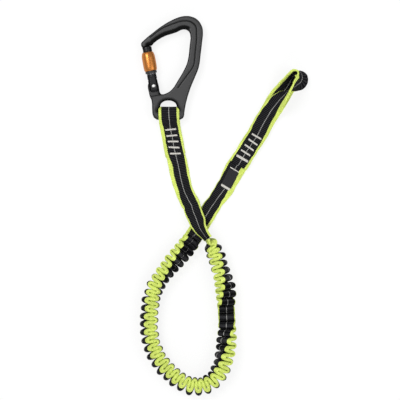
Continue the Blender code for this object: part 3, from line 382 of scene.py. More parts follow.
def path_frames(rows):
    """Directions along, across and out at each row (x, y, z, roll) of a path.

    Across is Z x along, turned about along by the roll: cos(roll) level + sin(roll) up. Where the path is
    upright, the nearest level direction is taken, and it never turns over from one row to the next.
    """
    along, roll = unit(np.gradient(rows[:, :3], axis=0)), rows[:, 3:]
    level = np.cross(np.broadcast_to(UP, along.shape), along)
    strong = np.flatnonzero(np.linalg.norm(level, axis=1) >= 0.05)
    nearest = strong[np.argmin(np.abs(np.arange(len(rows))[:, None] - strong[None, :]), axis=1)]
    level = unit(level[nearest])
    turns = np.cumsum(np.concatenate([[0], np.sum(level[1:] * level[:-1], axis=1) < 0])) % 2
    level = level * np.where(turns, -1, 1)[:, None]
    level = unit(level - along * np.sum(level * along, axis=1)[:, None])
    across = np.cos(roll) * level + np.sin(roll) * np.cross(along, level)
    return along, across, np.cross(along, across)


def set_off(rows, *distances):
    """Points set off from a path's rows by distances along, across and out."""
    grid = rows[:, None, :3]
    for distance, direction in zip(distances, path_frames(rows)):
        grid = grid + np.asarray(distance)[..., None] * direction[:, None]
    return grid


def layer_height(layers, roll):
    """Height of the webbing's middle: on its layers, and up on its edge where it is rolled."""
    lift = settings().webbing.width / 2 * abs(math.sin(roll)) + LAYER / 2 * abs(math.cos(roll))
    return FLOOR_GAP + lift + layers * (LAYER + FIT)


def moved_left(rows, shift):
    """Rows moved to the left of their plan by the millimetres listed at shares of their length."""
    along = run_length(rows)
    ahead = unit(np.gradient(rows[:, :2], axis=0))
    left = bell_mean(read(shift, along / along[-1]) * MM, SHIFT_REACH)
    rows = rows.copy()
    rows[:, 0] -= left * ahead[:, 1]
    rows[:, 1] += left * ahead[:, 0]
    return rows


def moved_aside(rows, shift):
    """Rows of the eye moved towards +X by the millimetres listed at distances in front of the bar.

    The move is square to the strap's plan direction with its X kept positive, (|ay|, -ax sign ay), so both
    layers of the eye move alike.
    """
    ahead = np.gradient(rows[:, :2], axis=0)
    size = np.linalg.norm(ahead, axis=1, keepdims=True)
    ahead = np.where(size > 1e-6, ahead / np.maximum(size, 1e-6), [0.0, 1.0])
    amount = bell_mean(read(shift, (EYE_BAR[1] - rows[:, 1]) / MM) * MM, SHIFT_REACH)
    rows = rows.copy()
    rows[:, 0] += amount * np.abs(ahead[:, 1])
    rows[:, 1] -= amount * ahead[:, 0] * np.sign(ahead[:, 1])
    return rows


def route_rows(route):
    """A route's rows as x, y, z and roll in metres and radians."""
    rows = []
    for across, along, layers, *roll in route:
        angle = math.radians(roll[0]) if roll else 0.0
        rows.append((EYE_BAR[0] + across * MM, EYE_BAR[1] + along * MM, layer_height(layers, angle), angle))
    return rows


def new_mesh(points, faces, **layers):
    """A smooth mesh, with each named layer's value or vector at every point."""
    mesh = bpy.data.meshes.new("piece")
    mesh.from_pydata(points.tolist(), [], faces)
    mesh.shade_smooth()
    for name, values in layers.items():
        kind, field = ("FLOAT", "value") if values.ndim == 1 else ("FLOAT_VECTOR", "vector")
        layer = mesh.attributes.new(name, kind, "POINT")
        layer.data.foreach_set(field, values.ravel().astype(np.float32))
    return mesh


def grid_mesh(grid, closed=False, **layers):
    """A closed mesh from a grid of points (rows, columns, 3), a tube with filled ends or a ring.

    Quads join neighbouring rows and columns, the last column joins the first, and on a ring the last row
    joins the first. All faces are turned over if the enclosed volume, the sum of a . (b x c) / 6 over its
    triangles, is negative.
    """
    points = grid.reshape(-1, 3)
    index = np.arange(len(points)).reshape(grid.shape[:2])
    here = index if closed else index[:-1]
    ahead = np.roll(index, -1, axis=0)[:len(here)]
    quads = np.stack([here, np.roll(here, -1, axis=1), np.roll(ahead, -1, axis=1), ahead], axis=-1)
    quads = quads.reshape(-1, 4)
    a, b, c, d = (points[quads[:, corner]] for corner in range(4))
    turn = 1 if np.sum(a * np.cross(b, c)) + np.sum(a * np.cross(c, d)) > 0 else -1
    faces = quads[:, ::turn].tolist()
    if not closed:
        faces += [index[0, ::-turn].tolist(), index[-1, ::turn].tolist()]
    return new_mesh(points, faces, **layers)


def add_piece(name, mesh, material, body, slot, *replaced):
    """A new piece at the origin that rides on a body and stands for the CAD nodes named."""
    mesh.name = name
    mesh.materials.append(material)
    obj = bpy.data.objects.new(name, mesh)
    bpy.context.scene.collection.objects.link(obj)
    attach(obj, body)
    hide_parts(*replaced)
    return obj


def tape_section(flat_columns=15, cap_columns=9):
    """Unit section of a tape as rows of (share across the flat, cap angle, side).

    Columns run over the top flat, round one edge, back along the bottom flat and round the other edge.
    """
    flat = np.linspace(-1, 1, flat_columns)
    cap = np.linspace(math.pi / 2, -math.pi / 2, cap_columns + 2)[1:-1]
    top = np.column_stack([flat, np.full_like(flat, math.pi / 2), np.ones_like(flat)])
    edge = np.column_stack([np.ones_like(cap), cap, np.zeros_like(cap)])
    return np.vstack([top, edge, -top, -edge])


def section_offsets(section, half_width, half_thickness, nominal_half):
    """Offsets across and out of a tape's surface, and its distance across the cloth in millimetres.

    Flat: across = share (w - t), out = +-t. Cap: across = +-(w - t + t cos a), out = t sin a. The distance
    across the cloth goes on round the cap as t times the angle turned.
    """
    share, angle, side = section.T
    width, thick = half_width[:, None], half_thickness[:, None]
    on_cap = side == 0
    across = share * (width - thick) + np.where(on_cap, np.sign(share) * thick * np.cos(angle), 0.0)
    out = thick * np.where(on_cap, np.sin(angle), side)
    turned = np.where(on_cap, math.pi / 2 - np.abs(angle), 0.0)
    cloth = share * (nominal_half - thick) + np.sign(share) * thick * turned
    return across, out, cloth / MM


def thread_tube(points, radius, sides=6):
    """Grid of a round thread along a path: centre + r (cos a across + sin a out)."""
    angle = np.linspace(0, math.tau, sides, endpoint=False)[None]
    rows = np.column_stack([points, np.zeros(len(points))])
    return set_off(rows, 0.0, radius * np.cos(angle), radius * np.sin(angle))


def shader_group(name, inputs, outputs):
    """An empty shader group and its sockets: the first input is a vector, and the others are floats."""
    group = bpy.data.node_groups.new(name, "ShaderNodeTree")
    for labels, way in ((inputs, "INPUT"), (outputs, "OUTPUT")):
        for label in labels:
            kind = "NodeSocketVector" if label == inputs[0] else "NodeSocketFloat"
            group.interface.new_socket(label, in_out=way, socket_type=kind)
    return group, group.nodes.new("NodeGroupInput").outputs, group.nodes.new("NodeGroupOutput").inputs


def put(tree, value, socket):
    """Link an output to a socket, or set the socket's value."""
    if isinstance(value, bpy.types.NodeSocket):
        tree.links.new(value, socket)
    else:
        socket.default_value = value


def place(tree, kind, **values):
    """A node with its named inputs linked or set; underscores in a name stand for spaces."""
    node = tree.nodes.new("ShaderNode" + kind)
    for label, value in values.items():
        put(tree, value, node.inputs[label.replace("_", " ")])
    return node


def calc(tree, operation, a, b=0.0, c=0.0):
    """A Math node's result."""
    node = place(tree, "Math")
    node.operation = operation
    for value, socket in zip((a, b, c), node.inputs):
        put(tree, value, socket)
    return node.outputs[0]


def blend_colour(tree, factor, a, b, kind="MIX"):
    """A Mix node on colours."""
    node = place(tree, "Mix")
    node.data_type = "RGBA"
    node.blend_type = kind
    put(tree, factor, node.inputs["Factor"])
    for value, socket in ((a, node.inputs[6]), (b, node.inputs[7])):
        put(tree, value if isinstance(value, bpy.types.NodeSocket) else (*value, 1.0), socket)
    return node.outputs[2]


def between(tree, value, low, high, to_low=0.0, to_high=1.0):
    """A smooth Map Range."""
    node = place(tree, "MapRange")
    node.interpolation_type = "SMOOTHSTEP"
    for item, socket in zip((value, low, high, to_low, to_high), node.inputs):
        put(tree, item, socket)
    return node.outputs[0]


def noise(tree, vector, scale, detail):
    """A Noise texture's value."""
    return place(tree, "TexNoise", Vector=vector, Scale=scale, Detail=detail).outputs["Fac"]


def attribute(tree, name):
    """The outputs of an Attribute node."""
    node = place(tree, "Attribute")
    node.attribute_name = name
    return node.outputs


def use_group(tree, group, **values):
    """Place a group in a tree; underscores in a name stand for spaces."""
    node = place(tree, "Group")
    node.node_tree = group
    for label, value in values.items():
        put(tree, value, node.inputs[label.replace("_", " ")])
    return node.outputs


def group_weave():
    """Weave of the webbing, from the cloth's millimetres across, along and to the start of its bright edge.

    Crest = sine of 2 pi along / pitch + a small wave across. Height = crest + warp yarns + unevenness. Edge
    is 1 past the start, with a border that steps by the ribs and wanders. Tracer is 1 within its half width
    of a wandering middle, in dashes by the ribs.
    """
    if "webbing weave" in bpy.data.node_groups:
        return bpy.data.node_groups["webbing weave"]
    group, given, result = shader_group("webbing weave", ("Cloth", "Rib Pitch", "Tracer Half Width"),
                                        ("Height", "Crest", "Edge", "Tracer"))
    cloth = given["Cloth"]
    across, along, start = place(group, "SeparateXYZ", Vector=cloth).outputs
    turn = calc(group, "DIVIDE", calc(group, "MULTIPLY", along, math.tau), given["Rib Pitch"])
    rib = calc(group, "SINE", turn)

    wave = calc(group, "MULTIPLY", calc(group, "SINE", calc(group, "MULTIPLY", across, 5.2)), 0.5)
    crest = calc(group, "MULTIPLY_ADD", calc(group, "SINE", calc(group, "ADD", turn, wave)), 0.5, 0.5)
    yarn = calc(group, "ABSOLUTE", calc(group, "SINE", calc(group, "MULTIPLY", across, 4.4)))
    height = calc(group, "MULTIPLY_ADD", yarn, 0.35, crest)
    height = calc(group, "MULTIPLY_ADD", noise(group, cloth, 1.3, 2.0), 0.5, height)
    put(group, height, result["Height"])
    put(group, calc(group, "MULTIPLY", crest, calc(group, "MULTIPLY_ADD", yarn, 0.4, 0.6)), result["Crest"])

    wander = calc(group, "MULTIPLY_ADD", noise(group, cloth, 0.12, 1.0), 0.5, -0.25)
    past = calc(group, "ADD", calc(group, "ABSOLUTE", across), wander)
    past = calc(group, "SUBTRACT", calc(group, "MULTIPLY_ADD", rib, 0.14, past), start)
    put(group, between(group, past, -0.12, 0.12), result["Edge"])

    wander = calc(group, "MULTIPLY_ADD", noise(group, cloth, 0.08, 1.0), 0.8, -0.4)
    past = calc(group, "ABSOLUTE", calc(group, "ADD", across, wander))
    past = calc(group, "SUBTRACT", past, given["Tracer Half Width"])
    dash = between(group, rib, -0.9, -0.2, 0.35, 1.0)
    line = between(group, past, -0.12, 0.12, 1.0, 0.0)
    put(group, calc(group, "MULTIPLY", line, dash), result["Tracer"])
    return group


def group_grain():
    """Fine grain and broad mottling in the piece's own space, both from 0 to 1."""
    if "surface grain" in bpy.data.node_groups:
        return bpy.data.node_groups["surface grain"]
    group, given, result = shader_group("surface grain", ("Vector", "Grain Scale", "Mottle Scale"),
                                        ("Grain", "Mottle"))
    for label, detail in (("Grain", 3.0), ("Mottle", 2.0)):
        put(group, noise(group, given["Vector"], given[label + " Scale"], detail), result[label])
    return group


def object_grain(tree, fine, broad):
    """Grain and mottling of two scales on the piece's Object coordinates."""
    vector = place(tree, "TexCoord").outputs["Object"]
    return use_group(tree, group_grain(), Vector=vector, Grain_Scale=fine, Mottle_Scale=broad)


def new_material(name, roughness, metallic=0.0, specular=0.5):
    """A Principled material with its constant values set on the shader."""
    material = bpy.data.materials.new(name)
    material.use_nodes = True
    shader = material.node_tree.nodes["Principled BSDF"]
    shader.inputs["Roughness"].default_value = roughness
    shader.inputs["Metallic"].default_value = metallic
    shader.inputs["Specular IOR Level"].default_value = specular
    return material, material.node_tree, shader


def cover(tree, shader, colour, height, strength, distance):
    """Give a shader its colour, and the bump of a height."""
    tree.links.new(colour, shader.inputs["Base Color"])
    bump = place(tree, "Bump", Strength=strength, Distance=distance, Height=height)
    tree.links.new(bump.outputs[0], shader.inputs["Normal"])


def webbing_material():
    """Dark ribbed webbing with bright edges and a tracer yarn, with painted highlights on the rib crests and
    painted shade between them.
    """
    if "ribbed webbing" in bpy.data.materials:
        return bpy.data.materials["ribbed webbing"]
    look = settings().webbing
    material, tree, shader = new_material("ribbed webbing", 0.85, specular=0.03)
    shader.inputs["Sheen Weight"].default_value = 0.01
    shader.inputs["Sheen Roughness"].default_value = 0.4
    weave = use_group(tree, group_weave(), Cloth=attribute(tree, "cloth")["Vector"],
                      Rib_Pitch=look.rib_pitch / MM, Tracer_Half_Width=0.42)
    grain = object_grain(tree, 2600.0, 120.0)
    # painted highlight: the dark yarn is lighter on the rib crests
    dark = blend_colour(tree, weave["Crest"], look.cloth, look.crest_highlight)
    dark = blend_colour(tree, weave["Tracer"], dark, look.tracer)
    # painted highlight and shade: the edge yarn is lighter on the crests and darker between the ribs
    lit = calc(tree, "MULTIPLY_ADD", weave["Crest"], 0.6, 0.4)
    colour = blend_colour(tree, weave["Edge"], dark, blend_colour(tree, lit, look.edge_rib_shade, look.edge))
    shade = calc(tree, "MULTIPLY", between(tree, grain["Mottle"], 0.3, 0.7, 0.86, 1.0),
                 between(tree, grain["Grain"], 0.3, 0.7, 0.9, 1.0))
    cover(tree, shader, blend_colour(tree, 1.0, colour, shade, "MULTIPLY"),
          calc(tree, "MULTIPLY_ADD", grain["Grain"], 0.4, weave["Height"]), 0.75, 0.35 * MM)
    return material


def patch_material():
    """Fine flat weave of the bare patch, with a painted highlight on its rib crests."""
    material, tree, shader = new_material("patch weave", 0.75, specular=0.3)
    weave = use_group(tree, group_weave(), Cloth=attribute(tree, "cloth")["Vector"], Rib_Pitch=0.55)
    # painted highlight: lighter on the weave's crests
    colour = blend_colour(tree, weave["Crest"], (0.004, 0.004, 0.005), (0.03, 0.03, 0.034))
    cover(tree, shader, colour, weave["Height"], 0.4, 0.1 * MM)
    return material


def thread_material():
    """Off-white twisted sewing thread."""
    if "sewing thread" in bpy.data.materials:
        return bpy.data.materials["sewing thread"]
    material, tree, shader = new_material("sewing thread", 0.7, specular=0.3)
    grain = object_grain(tree, 4200.0, 300.0)["Grain"]
    colour = np.array(settings().thread.colour)
    cover(tree, shader, blend_colour(tree, grain, 0.72 * colour, colour), grain, 0.3, 0.1 * MM)
    return material


def metal_material(name, colour, roughness, metallic, toned=False, specular=0.5):
    """Anodised or bright metal with fine grain, rub marks and a slightly uneven gloss.

    Where the piece has painted light, a painted shade and highlight held at its points, its colour and
    specular level are multiplied by it.
    """
    material, tree, shader = new_material(name, roughness, metallic, specular)
    grain = object_grain(tree, 2400.0, 70.0)
    colour = np.array(colour)
    shade = blend_colour(tree, grain["Mottle"], 0.9 * colour, np.minimum(1.0, 1.1 * colour))
    if toned:
        # painted light and shade: the colour and the specular level are multiplied by the piece's point
        # attribute
        tone = attribute(tree, "tone")
        shade = blend_colour(tree, 1.0, shade, tone["Color"], "MULTIPLY")
        put(tree, calc(tree, "MULTIPLY", tone["Fac"], specular), shader.inputs["Specular IOR Level"])
    put(tree, between(tree, grain["Grain"], 0.3, 0.7, roughness * 0.96, roughness * 1.05),
        shader.inputs["Roughness"])
    cover(tree, shader, shade, grain["Mottle"], 0.02, 0.2 * MM)
    return material


class TETHER_OT_stage(Operator):
    """Straight-down camera, pale floor and soft light"""

    bl_idname = "tether.stage"
    bl_label = "Stage"

    def execute(self, context):
        look = settings().stage
        make_camera(look)
        make_floor(look)
        make_lights(look)
        return {"FINISHED"}


def make_camera(look):
    """A long lens straight above the middle of the photograph."""
    data = bpy.data.cameras.new("camera")
    data.sensor_width = 36.0
    data.lens = data.sensor_width * look.camera_height / look.view_width
    data.clip_end = 20.0
    camera = bpy.data.objects.new("camera", data)
    camera.location = (look.view_x, look.view_y, look.camera_height + 8.0 * MM)
    bpy.context.scene.collection.objects.link(camera)
    bpy.context.scene.camera = camera


def make_floor(look):
    """A white floor that keeps the tether's shadow, and shows white to the camera and in the metal."""
    corners = np.array([(-6.0, -6.0, 0), (6.0, -6.0, 0), (6.0, 6.0, 0), (-6.0, 6.0, 0)])
    floor = bpy.data.objects.new("floor", new_mesh(corners, [(0, 1, 2, 3)]))
    bpy.context.scene.collection.objects.link(floor)
    material = bpy.data.materials.new("floor")
    material.use_nodes = True
    tree = material.node_tree
    tree.nodes.clear()
    rays = place(tree, "LightPath").outputs
    seen = calc(tree, "MAXIMUM", rays["Is Camera Ray"], rays["Is Glossy Ray"])
    seen = calc(tree, "MAXIMUM", seen, rays["Is Transmission Ray"])
    plain = place(tree, "BsdfDiffuse", Color=(*look.floor, 1))
    white = place(tree, "Emission")
    mix = place(tree, "MixShader", Fac=calc(tree, "MULTIPLY", seen, 0.82))
    tree.links.new(plain.outputs[0], mix.inputs[1])
    tree.links.new(white.outputs[0], mix.inputs[2])
    place(tree, "OutputMaterial", Surface=mix.outputs[0])
    floor.data.materials.append(material)


def make_lights(look):
    """A pale world, one large key light and two fills, all hidden from the camera."""
    scene = bpy.context.scene
    scene.world = bpy.data.worlds.new("studio")
    scene.world.use_nodes = True
    tree = scene.world.node_tree
    back = tree.nodes["Background"]
    back.inputs["Color"].default_value = (1, 1, 1, 1)
    rays = place(tree, "LightPath").outputs
    put(tree, calc(tree, "MAXIMUM", rays["Is Camera Ray"], 0.5), back.inputs["Strength"])
    aim = Vector((look.view_x, look.view_y, 0))
    for name, place_from_aim, size, watts in (("key", (-0.9, 0.7, 1.9), 0.9, 26.0),
                                              ("fill", (1.3, -0.2, 1.7), 1.2, 12.0),
                                              ("low", (0.2, -1.6, 1.1), 1.0, 7.0)):
        data = bpy.data.lights.new(name, "AREA")
        data.size = size
        data.energy = watts
        light = bpy.data.objects.new(name, data)
        light.location = aim + Vector(place_from_aim)
        light.rotation_euler = (-Vector(place_from_aim)).to_track_quat("-Z", "Y").to_euler()
        light.visible_camera = False
        scene.collection.objects.link(light)
    scene.view_settings.view_transform = "Standard"


def carabiner_rows():
    """Rows of the sewn eye and the index where its front run starts.

    The tail lies on the floor, the wrap goes round the bar and the run lies on the tail. Over its last
    stretch, where it crosses the other strap, the run rolls and rises smoothly.
    """
    front = np.array(route_rows(CARABINER_ROUTE))
    centre = EYE_BAR[0] + STRAP_OFFSET
    radius = EYE_BAR_RADIUS + FIT + LAYER / 2
    plan = even_rows([(centre, EYE_BAR[1], 0, 0)] + [(x, y, 0, 0) for x, y, _, _ in front], ROW_STEP)
    along = run_length(plan)
    tail = plan[(along > ROW_STEP / 2) & (along < TAIL_LENGTH)][::-1].copy()
    tail[:, 2] = layer_height(0, 0)
    first = front[0, 1:3] - EYE_BAR[1:]
    tangent = math.atan2(first[1], first[0]) % math.tau - math.acos(radius / math.hypot(*first))
    turn = np.linspace(-math.pi / 2, tangent, int(radius * (tangent + math.pi / 2) / ROW_STEP))
    outward = radius * np.cos(turn) + EYE_BULGE * np.maximum(np.cos(turn), 0)
    wrap = np.column_stack([np.full(len(turn), centre), EYE_BAR[1] + outward,
                            EYE_BAR[2] + radius * np.sin(turn), np.zeros(len(turn))])
    run = even_rows(np.vstack([wrap[-1:], front]), ROW_STEP)[1:]
    ramp = ease((np.arange(len(tail)) - len(tail)) / TAIL_RAMP + 1)
    tail[:, 2] += ramp * (wrap[0, 2] - tail[0, 2])
    rows = np.vstack([tail, wrap, run])
    along = run_length(rows)
    share = fade(along[-1] - along, CROSSING_LENGTH)
    rows[:, 3] += math.radians(CROSSING_ROLL) * share
    rows[:, 2] += CROSSING_LIFT * share
    return moved_aside(rows, CARABINER_SIDE), len(tail) + len(turn)


def loop_rows():
    """Rows of the loop strap."""
    rows = moved_left(even_rows(route_rows(LOOP_ROUTE), ROW_STEP), LOOP_SHIFT)
    rows[:, 2] += LOOP_LIFT
    along = run_length(rows)
    rows[:, 3] += np.radians(read(LOOP_ROLL, along / along[-1]))
    return rows


def carabiner_tack_spots(rows, front_start):
    """Distances of the eye's bar tacks along the strap."""
    front = rows[front_start - 1:]
    base = run_length(rows)[front_start - 1]
    first = base + np.interp(FIRST_TACK, EYE_BAR[1] - front[:, 1], run_length(front))
    return [first + CARABINER_TACK_PITCH * k for k in range(TACK_COUNT)]


def loop_tack_spots(rows):
    """Distances of the loop's bar tacks along the strap, from the tail's end backwards."""
    last = run_length(rows)[-1] - LOOP_TACK_FROM_TAIL
    return [last - LOOP_TACK_PITCH * k for k in range(TACK_COUNT)]


def band_starts(share, cloth, bands):
    """Where the coloured edge starts on each side of the travel, read from the list at each row's share."""
    at, right, left = np.array(bands).T
    return np.where(cloth < 0, np.interp(share, at, right)[:, None], np.interp(share, at, left)[:, None])


def cloth_layer(across, along, start):
    """The cloth attribute in millimetres: across, along and the start of the bright edge."""
    run = np.broadcast_to((along / MM)[:, None], across.shape)
    return np.stack([across, run, np.broadcast_to(start, across.shape)], axis=-1)


def strap_surface(rows, halves, bands, pinches):
    """Surface of a flat strap along its rows.

    Point = middle + across a + out b, with (a, b) from the tape's section. The half width follows the
    list of shares and wanders by two slow sines, the faces rise by a rib of one sine per pitch, and each
    bar tack presses the faces in by a bell curve along the strap.
    """
    look, reach = settings().webbing, settings().thread.tack_length / 2
    section = tape_section()
    along = run_length(rows)
    share = along / along[-1]
    half = bell_mean(read(halves, share) * MM, SHIFT_REACH)
    half += (0.16 * np.sin(along / (5.3 * MM)) + 0.12 * np.sin(along / (2.1 * MM) + 1.0)) * MM
    thick = np.full(len(rows), look.thickness / 2)
    across, out, cloth = section_offsets(section, half, thick, look.width / 2)
    rib = RIB_HEIGHT * np.sin(math.tau * along / look.rib_pitch)[:, None] * np.abs(np.sin(section[:, 1]))
    sag = -SAG * (1 - section[:, 0] ** 2) * section[:, 2]
    press = PINCH_DEPTH * ease((reach - np.abs(across)) / (2.0 * MM))
    press = press * sum(bell((along - spot) / PINCH_REACH) for spot in pinches)[:, None]
    out = out + np.sign(out) * (rib - press) + sag
    grid = set_off(rows, 0.0, across, out)
    return grid, cloth_layer(cloth, along, band_starts(share, cloth, bands))


def gather_rows():
    """Rows of the gathered stretch's middle line, with its twist as their roll."""
    height = settings().gather.height
    places = (*GATHERED_ROUTE, LOOP_ROUTE[1][:2])
    flat = [(EYE_BAR[0] + x * MM, EYE_BAR[1] + y * MM, 0, 0) for x, y in places]
    rows = moved_left(even_rows(flat, LINE_STEP), GATHER_SHIFT)
    along = run_length(rows)
    start = layer_height(CARABINER_ROUTE[-1][2], 0) + CROSSING_LIFT
    end = layer_height(LOOP_ROUTE[1][2], 0)
    rows[:, 2] = (height + (start - height) * fade(along, START_RAMP)
                  + (end - height) * fade(along[-1] - along, END_RAMP))
    twist = read(GATHER_TWIST, along / along[-1])
    rows[:, 3] = np.radians(bell_mean(twist, TWIST_REACH, mode="reflect", reflect_type="odd"))
    return rows


def settle(grid):
    """How far to raise or lower each row so that its neighbourhood just rests on the floor.

    The lowest point within one fold to each side, smoothed by a bell, is brought to the floor's gap. At
    the two ends, where the webbing lies on other layers, it fades to nothing.
    """
    low = np.pad(grid[..., 2].min(axis=1), ROWS_PER_FOLD, mode="edge")
    low = np.lib.stride_tricks.sliding_window_view(low, 2 * ROWS_PER_FOLD + 1).min(axis=1)
    low = bell_mean(low, ROWS_PER_FOLD)
    fold = np.arange(len(low)) / ROWS_PER_FOLD
    free = ease(fold / 2 - 0.5) * ease((fold[-1] - fold) / 2 - 0.5)
    return np.where(low < FLOOR_GAP, FLOOR_GAP - low, (FLOOR_GAP - low) * free)


def gathered_surface():
    """Surface of the webbing folded to and fro along its line, as a wave out of the tape's own plane.

    With q counted in folds and p = 2 pi q: point = middle(s) + along (B sin 2p) + out (A sin p), moved off
    that line by the section along the wave's own normal. A falls from the tape's middle to its edges,
    both swell from nothing over the first folds, and the inner side of each bend is pressed flat. Slow
    sines of q vary the pitch, the depth and how far the two edges lag.
    """
    look, tape = settings().gather, settings().webbing
    rows = gather_rows()
    q = np.linspace(0, look.folds, look.folds * ROWS_PER_FOLD + 1)
    pitch = 1.0 + 0.045 * bell((q / look.folds - 0.5) / 0.18) - 0.05 * ease(q / look.folds * 3 - 2)
    pitch = pitch * (1 + 0.035 * np.sin(1.7 * q) + 0.025 * np.sin(4.1 * q + 1.0))
    s = np.concatenate([[0], np.cumsum((pitch[1:] + pitch[:-1]) / 2)])
    share = s / s[-1]
    s = share * run_length(rows)[-1]
    middle = read_rows(rows, s)
    grow = ease(q / 0.9) * ease((look.folds - q) / 1.4)
    swell = read(GATHER_SWELL, share)
    half = look.half_width * swell * grow + END_HALF * (1 - grow)
    thick = look.half_thickness * read(GATHER_PLUMP, share) * grow + tape.thickness / 2 * (1 - grow)
    section = tape_section(17)
    across, out, cloth = section_offsets(section, half, thick, tape.width / 2)
    aside = across / half[:, None]
    uneven = 1 + 0.05 * np.sin(2.9 * q + 0.4) + 0.04 * np.sin(6.7 * q)
    depth = look.depth_edge + (look.depth_middle - look.depth_edge) * fade(np.abs(aside) - 0.217, 0.62)
    depth = depth * (grow * uneven * swell)[:, None]
    lag = 0.16 * np.sin(0.9 * q + 0.5) + 0.10 * np.sin(2.3 * q)
    p = math.tau * q[:, None] + lag[:, None] * aside
    back = -PULL_BACK * grow[:, None]
    step_along = np.gradient(s, q)[:, None] + 2 * math.tau * back * np.cos(2 * p)
    step_out = math.tau * depth * np.cos(p)
    inner = np.clip(-np.sign(out) * np.sin(p), 0, 1)
    pressed = out * (1 - 0.72 * grow[:, None] * inner ** 2) / np.hypot(step_along, step_out)
    grid = set_off(middle, back * np.sin(2 * p) - step_out * pressed, across,
                   depth * np.sin(p) + step_along * pressed)
    rest = settle(grid)
    grid[..., 2] += rest[:, None]
    middle[:, 2] += rest
    middle_column = np.argmin(np.abs(section[:, 0]) + (section[:, 2] < 0.5))
    along = run_length(grid[:, middle_column])
    worn = (share > WORN_FROM)[:, None] & (np.abs(cloth) < WORN_HALF)
    cloth_seen = np.where(worn, WORN_HALF, cloth)
    return grid, cloth_layer(cloth_seen, along, band_starts(share, cloth, GATHER_BANDS)), middle[:, :3]


def add_webbing(name, grid, cloth, path, every, nodes, **cord):
    """A piece of webbing on the tether that stands for the CAD nodes named; its path, every and cord are not
    used.
    """
    piece = add_piece(name, grid_mesh(grid, cloth=cloth), webbing_material(), "tether", "webbing", *nodes)


class TETHER_OT_carabiner_webbing(Operator):
    """Webbing from the sewn eye to the gathered stretch"""

    bl_idname = "tether.carabiner_webbing"
    bl_label = "Carabiner webbing"

    def execute(self, context):
        look = settings().webbing
        rows, front_start = carabiner_rows()
        grid, cloth = strap_surface(rows, CARABINER_STRAP_HALF, CARABINER_BANDS,
                                    carabiner_tack_spots(rows, front_start))
        add_webbing("eye_webbing", grid, cloth, rows[:, :3], 6, ["carabiner_strap"],
                    diameter=look.width, stiffness="limp",
                    with_pieces=[f"carabiner_tack_thread_{n}" for n in range(1, TACK_COUNT + 1)])
        return {"FINISHED"}


class TETHER_OT_gathered_webbing(Operator):
    """Webbing gathered into folds over its elastic"""

    bl_idname = "tether.gathered_webbing"
    bl_label = "Gathered webbing"

    def execute(self, context):
        add_webbing("gathered_webbing", *gathered_surface(), 20, ["elastic_web", "elastic_core"],
                    diameter=GATHER_THICKNESS, stiffness="medium")
        return {"FINISHED"}


class TETHER_OT_loop_webbing(Operator):
    """Webbing of the soft loop"""

    bl_idname = "tether.loop_webbing"
    bl_label = "Loop webbing"

    def execute(self, context):
        look = settings().webbing
        rows = loop_rows()
        grid, cloth = strap_surface(rows, LOOP_STRAP_HALF, LOOP_BANDS, [*loop_tack_spots(rows), *PATCH_ENDS])
        names = [f"loop_tack_thread_{n}" for n in range(1, TACK_COUNT + 1)]
        names += ["patch_tack_thread_1", "patch_tack_thread_2", "sewn_patch"]
        add_webbing("loop_webbing", grid, cloth, rows[:, :3], 6, ["loop_strap"],
                    diameter=look.width, stiffness="limp", with_pieces=names)
        return {"FINISHED"}


def strap_place(rows, distance, skew):
    """A point on a strap, and the directions across, along and out of its upper face turned by a skew."""
    index = int(np.argmin(np.abs(run_length(rows) - distance)))
    along, _, up = (part[index] for part in path_frames(rows))
    up = up if up[2] >= 0 else -up
    side = np.cross(along, up)
    cos, sin = math.cos(skew), math.sin(skew)
    return rows[index, :3], np.array([cos * side + sin * along, cos * along - sin * side, up])


def tack_grids(origin, axes, length, breadth, under):
    """Bed and threads of one bar tack: a zigzag over the top face, and another under the lowest layer.

    The thread goes to and fro over the breadth as a sine, and humps up by 1 - (y / half breadth)^2 between
    its two rows of holes. The bed is a low half ellipse along the tack.
    """
    look = settings().thread
    t = np.linspace(0, look.stitches, look.stitches * 8 + 1)
    x = (t / look.stitches - 0.5) * length
    y = np.sin(math.pi * t) * 0.5 * breadth
    hump = TACK_HUMP * (1 - (2 * y / breadth) ** 2)
    grids = []
    for z in (TACK_DEPTH + hump, -(TACK_DEPTH + under + hump)):
        grids.append(thread_tube(origin + np.stack([x, y, z], axis=1) @ axes, look.radius))
    x = np.linspace(-0.49, 0.49, 24)[:, None] * length
    end = np.sqrt(np.clip(1 - (2 * x / length) ** 8, 0.05, 1))
    angle = np.linspace(0, math.tau, 12, endpoint=False)[None]
    y = 0.46 * breadth * np.cos(angle) * end
    z = TACK_DEPTH + TACK_BED * np.sin(angle) * end
    grids.append(origin + np.stack([np.broadcast_to(x, y.shape), y, z], axis=-1) @ axes)
    return grids


def join_grids(grids):
    """Several closed grids as one mesh."""
    joined = bmesh.new()
    for grid in grids:
        part = grid_mesh(grid)
        joined.from_mesh(part)
        bpy.data.meshes.remove(part)
    mesh = bpy.data.meshes.new("joined")
    joined.to_mesh(mesh)
    joined.free()
    mesh.shade_smooth()
    return mesh


class TETHER_OT_bar_tacks(Operator):
    """Zigzag bar tacks of the eye, the loop and the patch"""

    bl_idname = "tether.bar_tacks"
    bl_label = "Bar tacks"

    def execute(self, context):
        look = settings().thread
        eye, front_start = carabiner_rows()
        loop = loop_rows()
        straight = (0.0,) * TACK_COUNT
        usual = (look.tack_length, look.tack_breadth)
        for prefix, path, spots, under, skews in (
                ("carabiner_tack", eye, carabiner_tack_spots(eye, front_start), LAYER + FIT, TACK_SKEW),
                ("loop_tack", loop, loop_tack_spots(loop), LAYER + FIT, straight),
                ("patch_tack", loop, PATCH_ENDS, 0.0, straight)):
            for number, (spot, skew) in enumerate(zip(spots, skews), start=1):
                node = f"{prefix}_{number}"
                origin, axes = strap_place(path, spot, math.radians(skew))
                grids = tack_grids(origin, axes, *WIDE_TACKS.get(node, usual), under)
                add_piece(f"{prefix}_thread_{number}", join_grids(grids), thread_material(), "tether",
                          "thread", node)
        return {"FINISHED"}


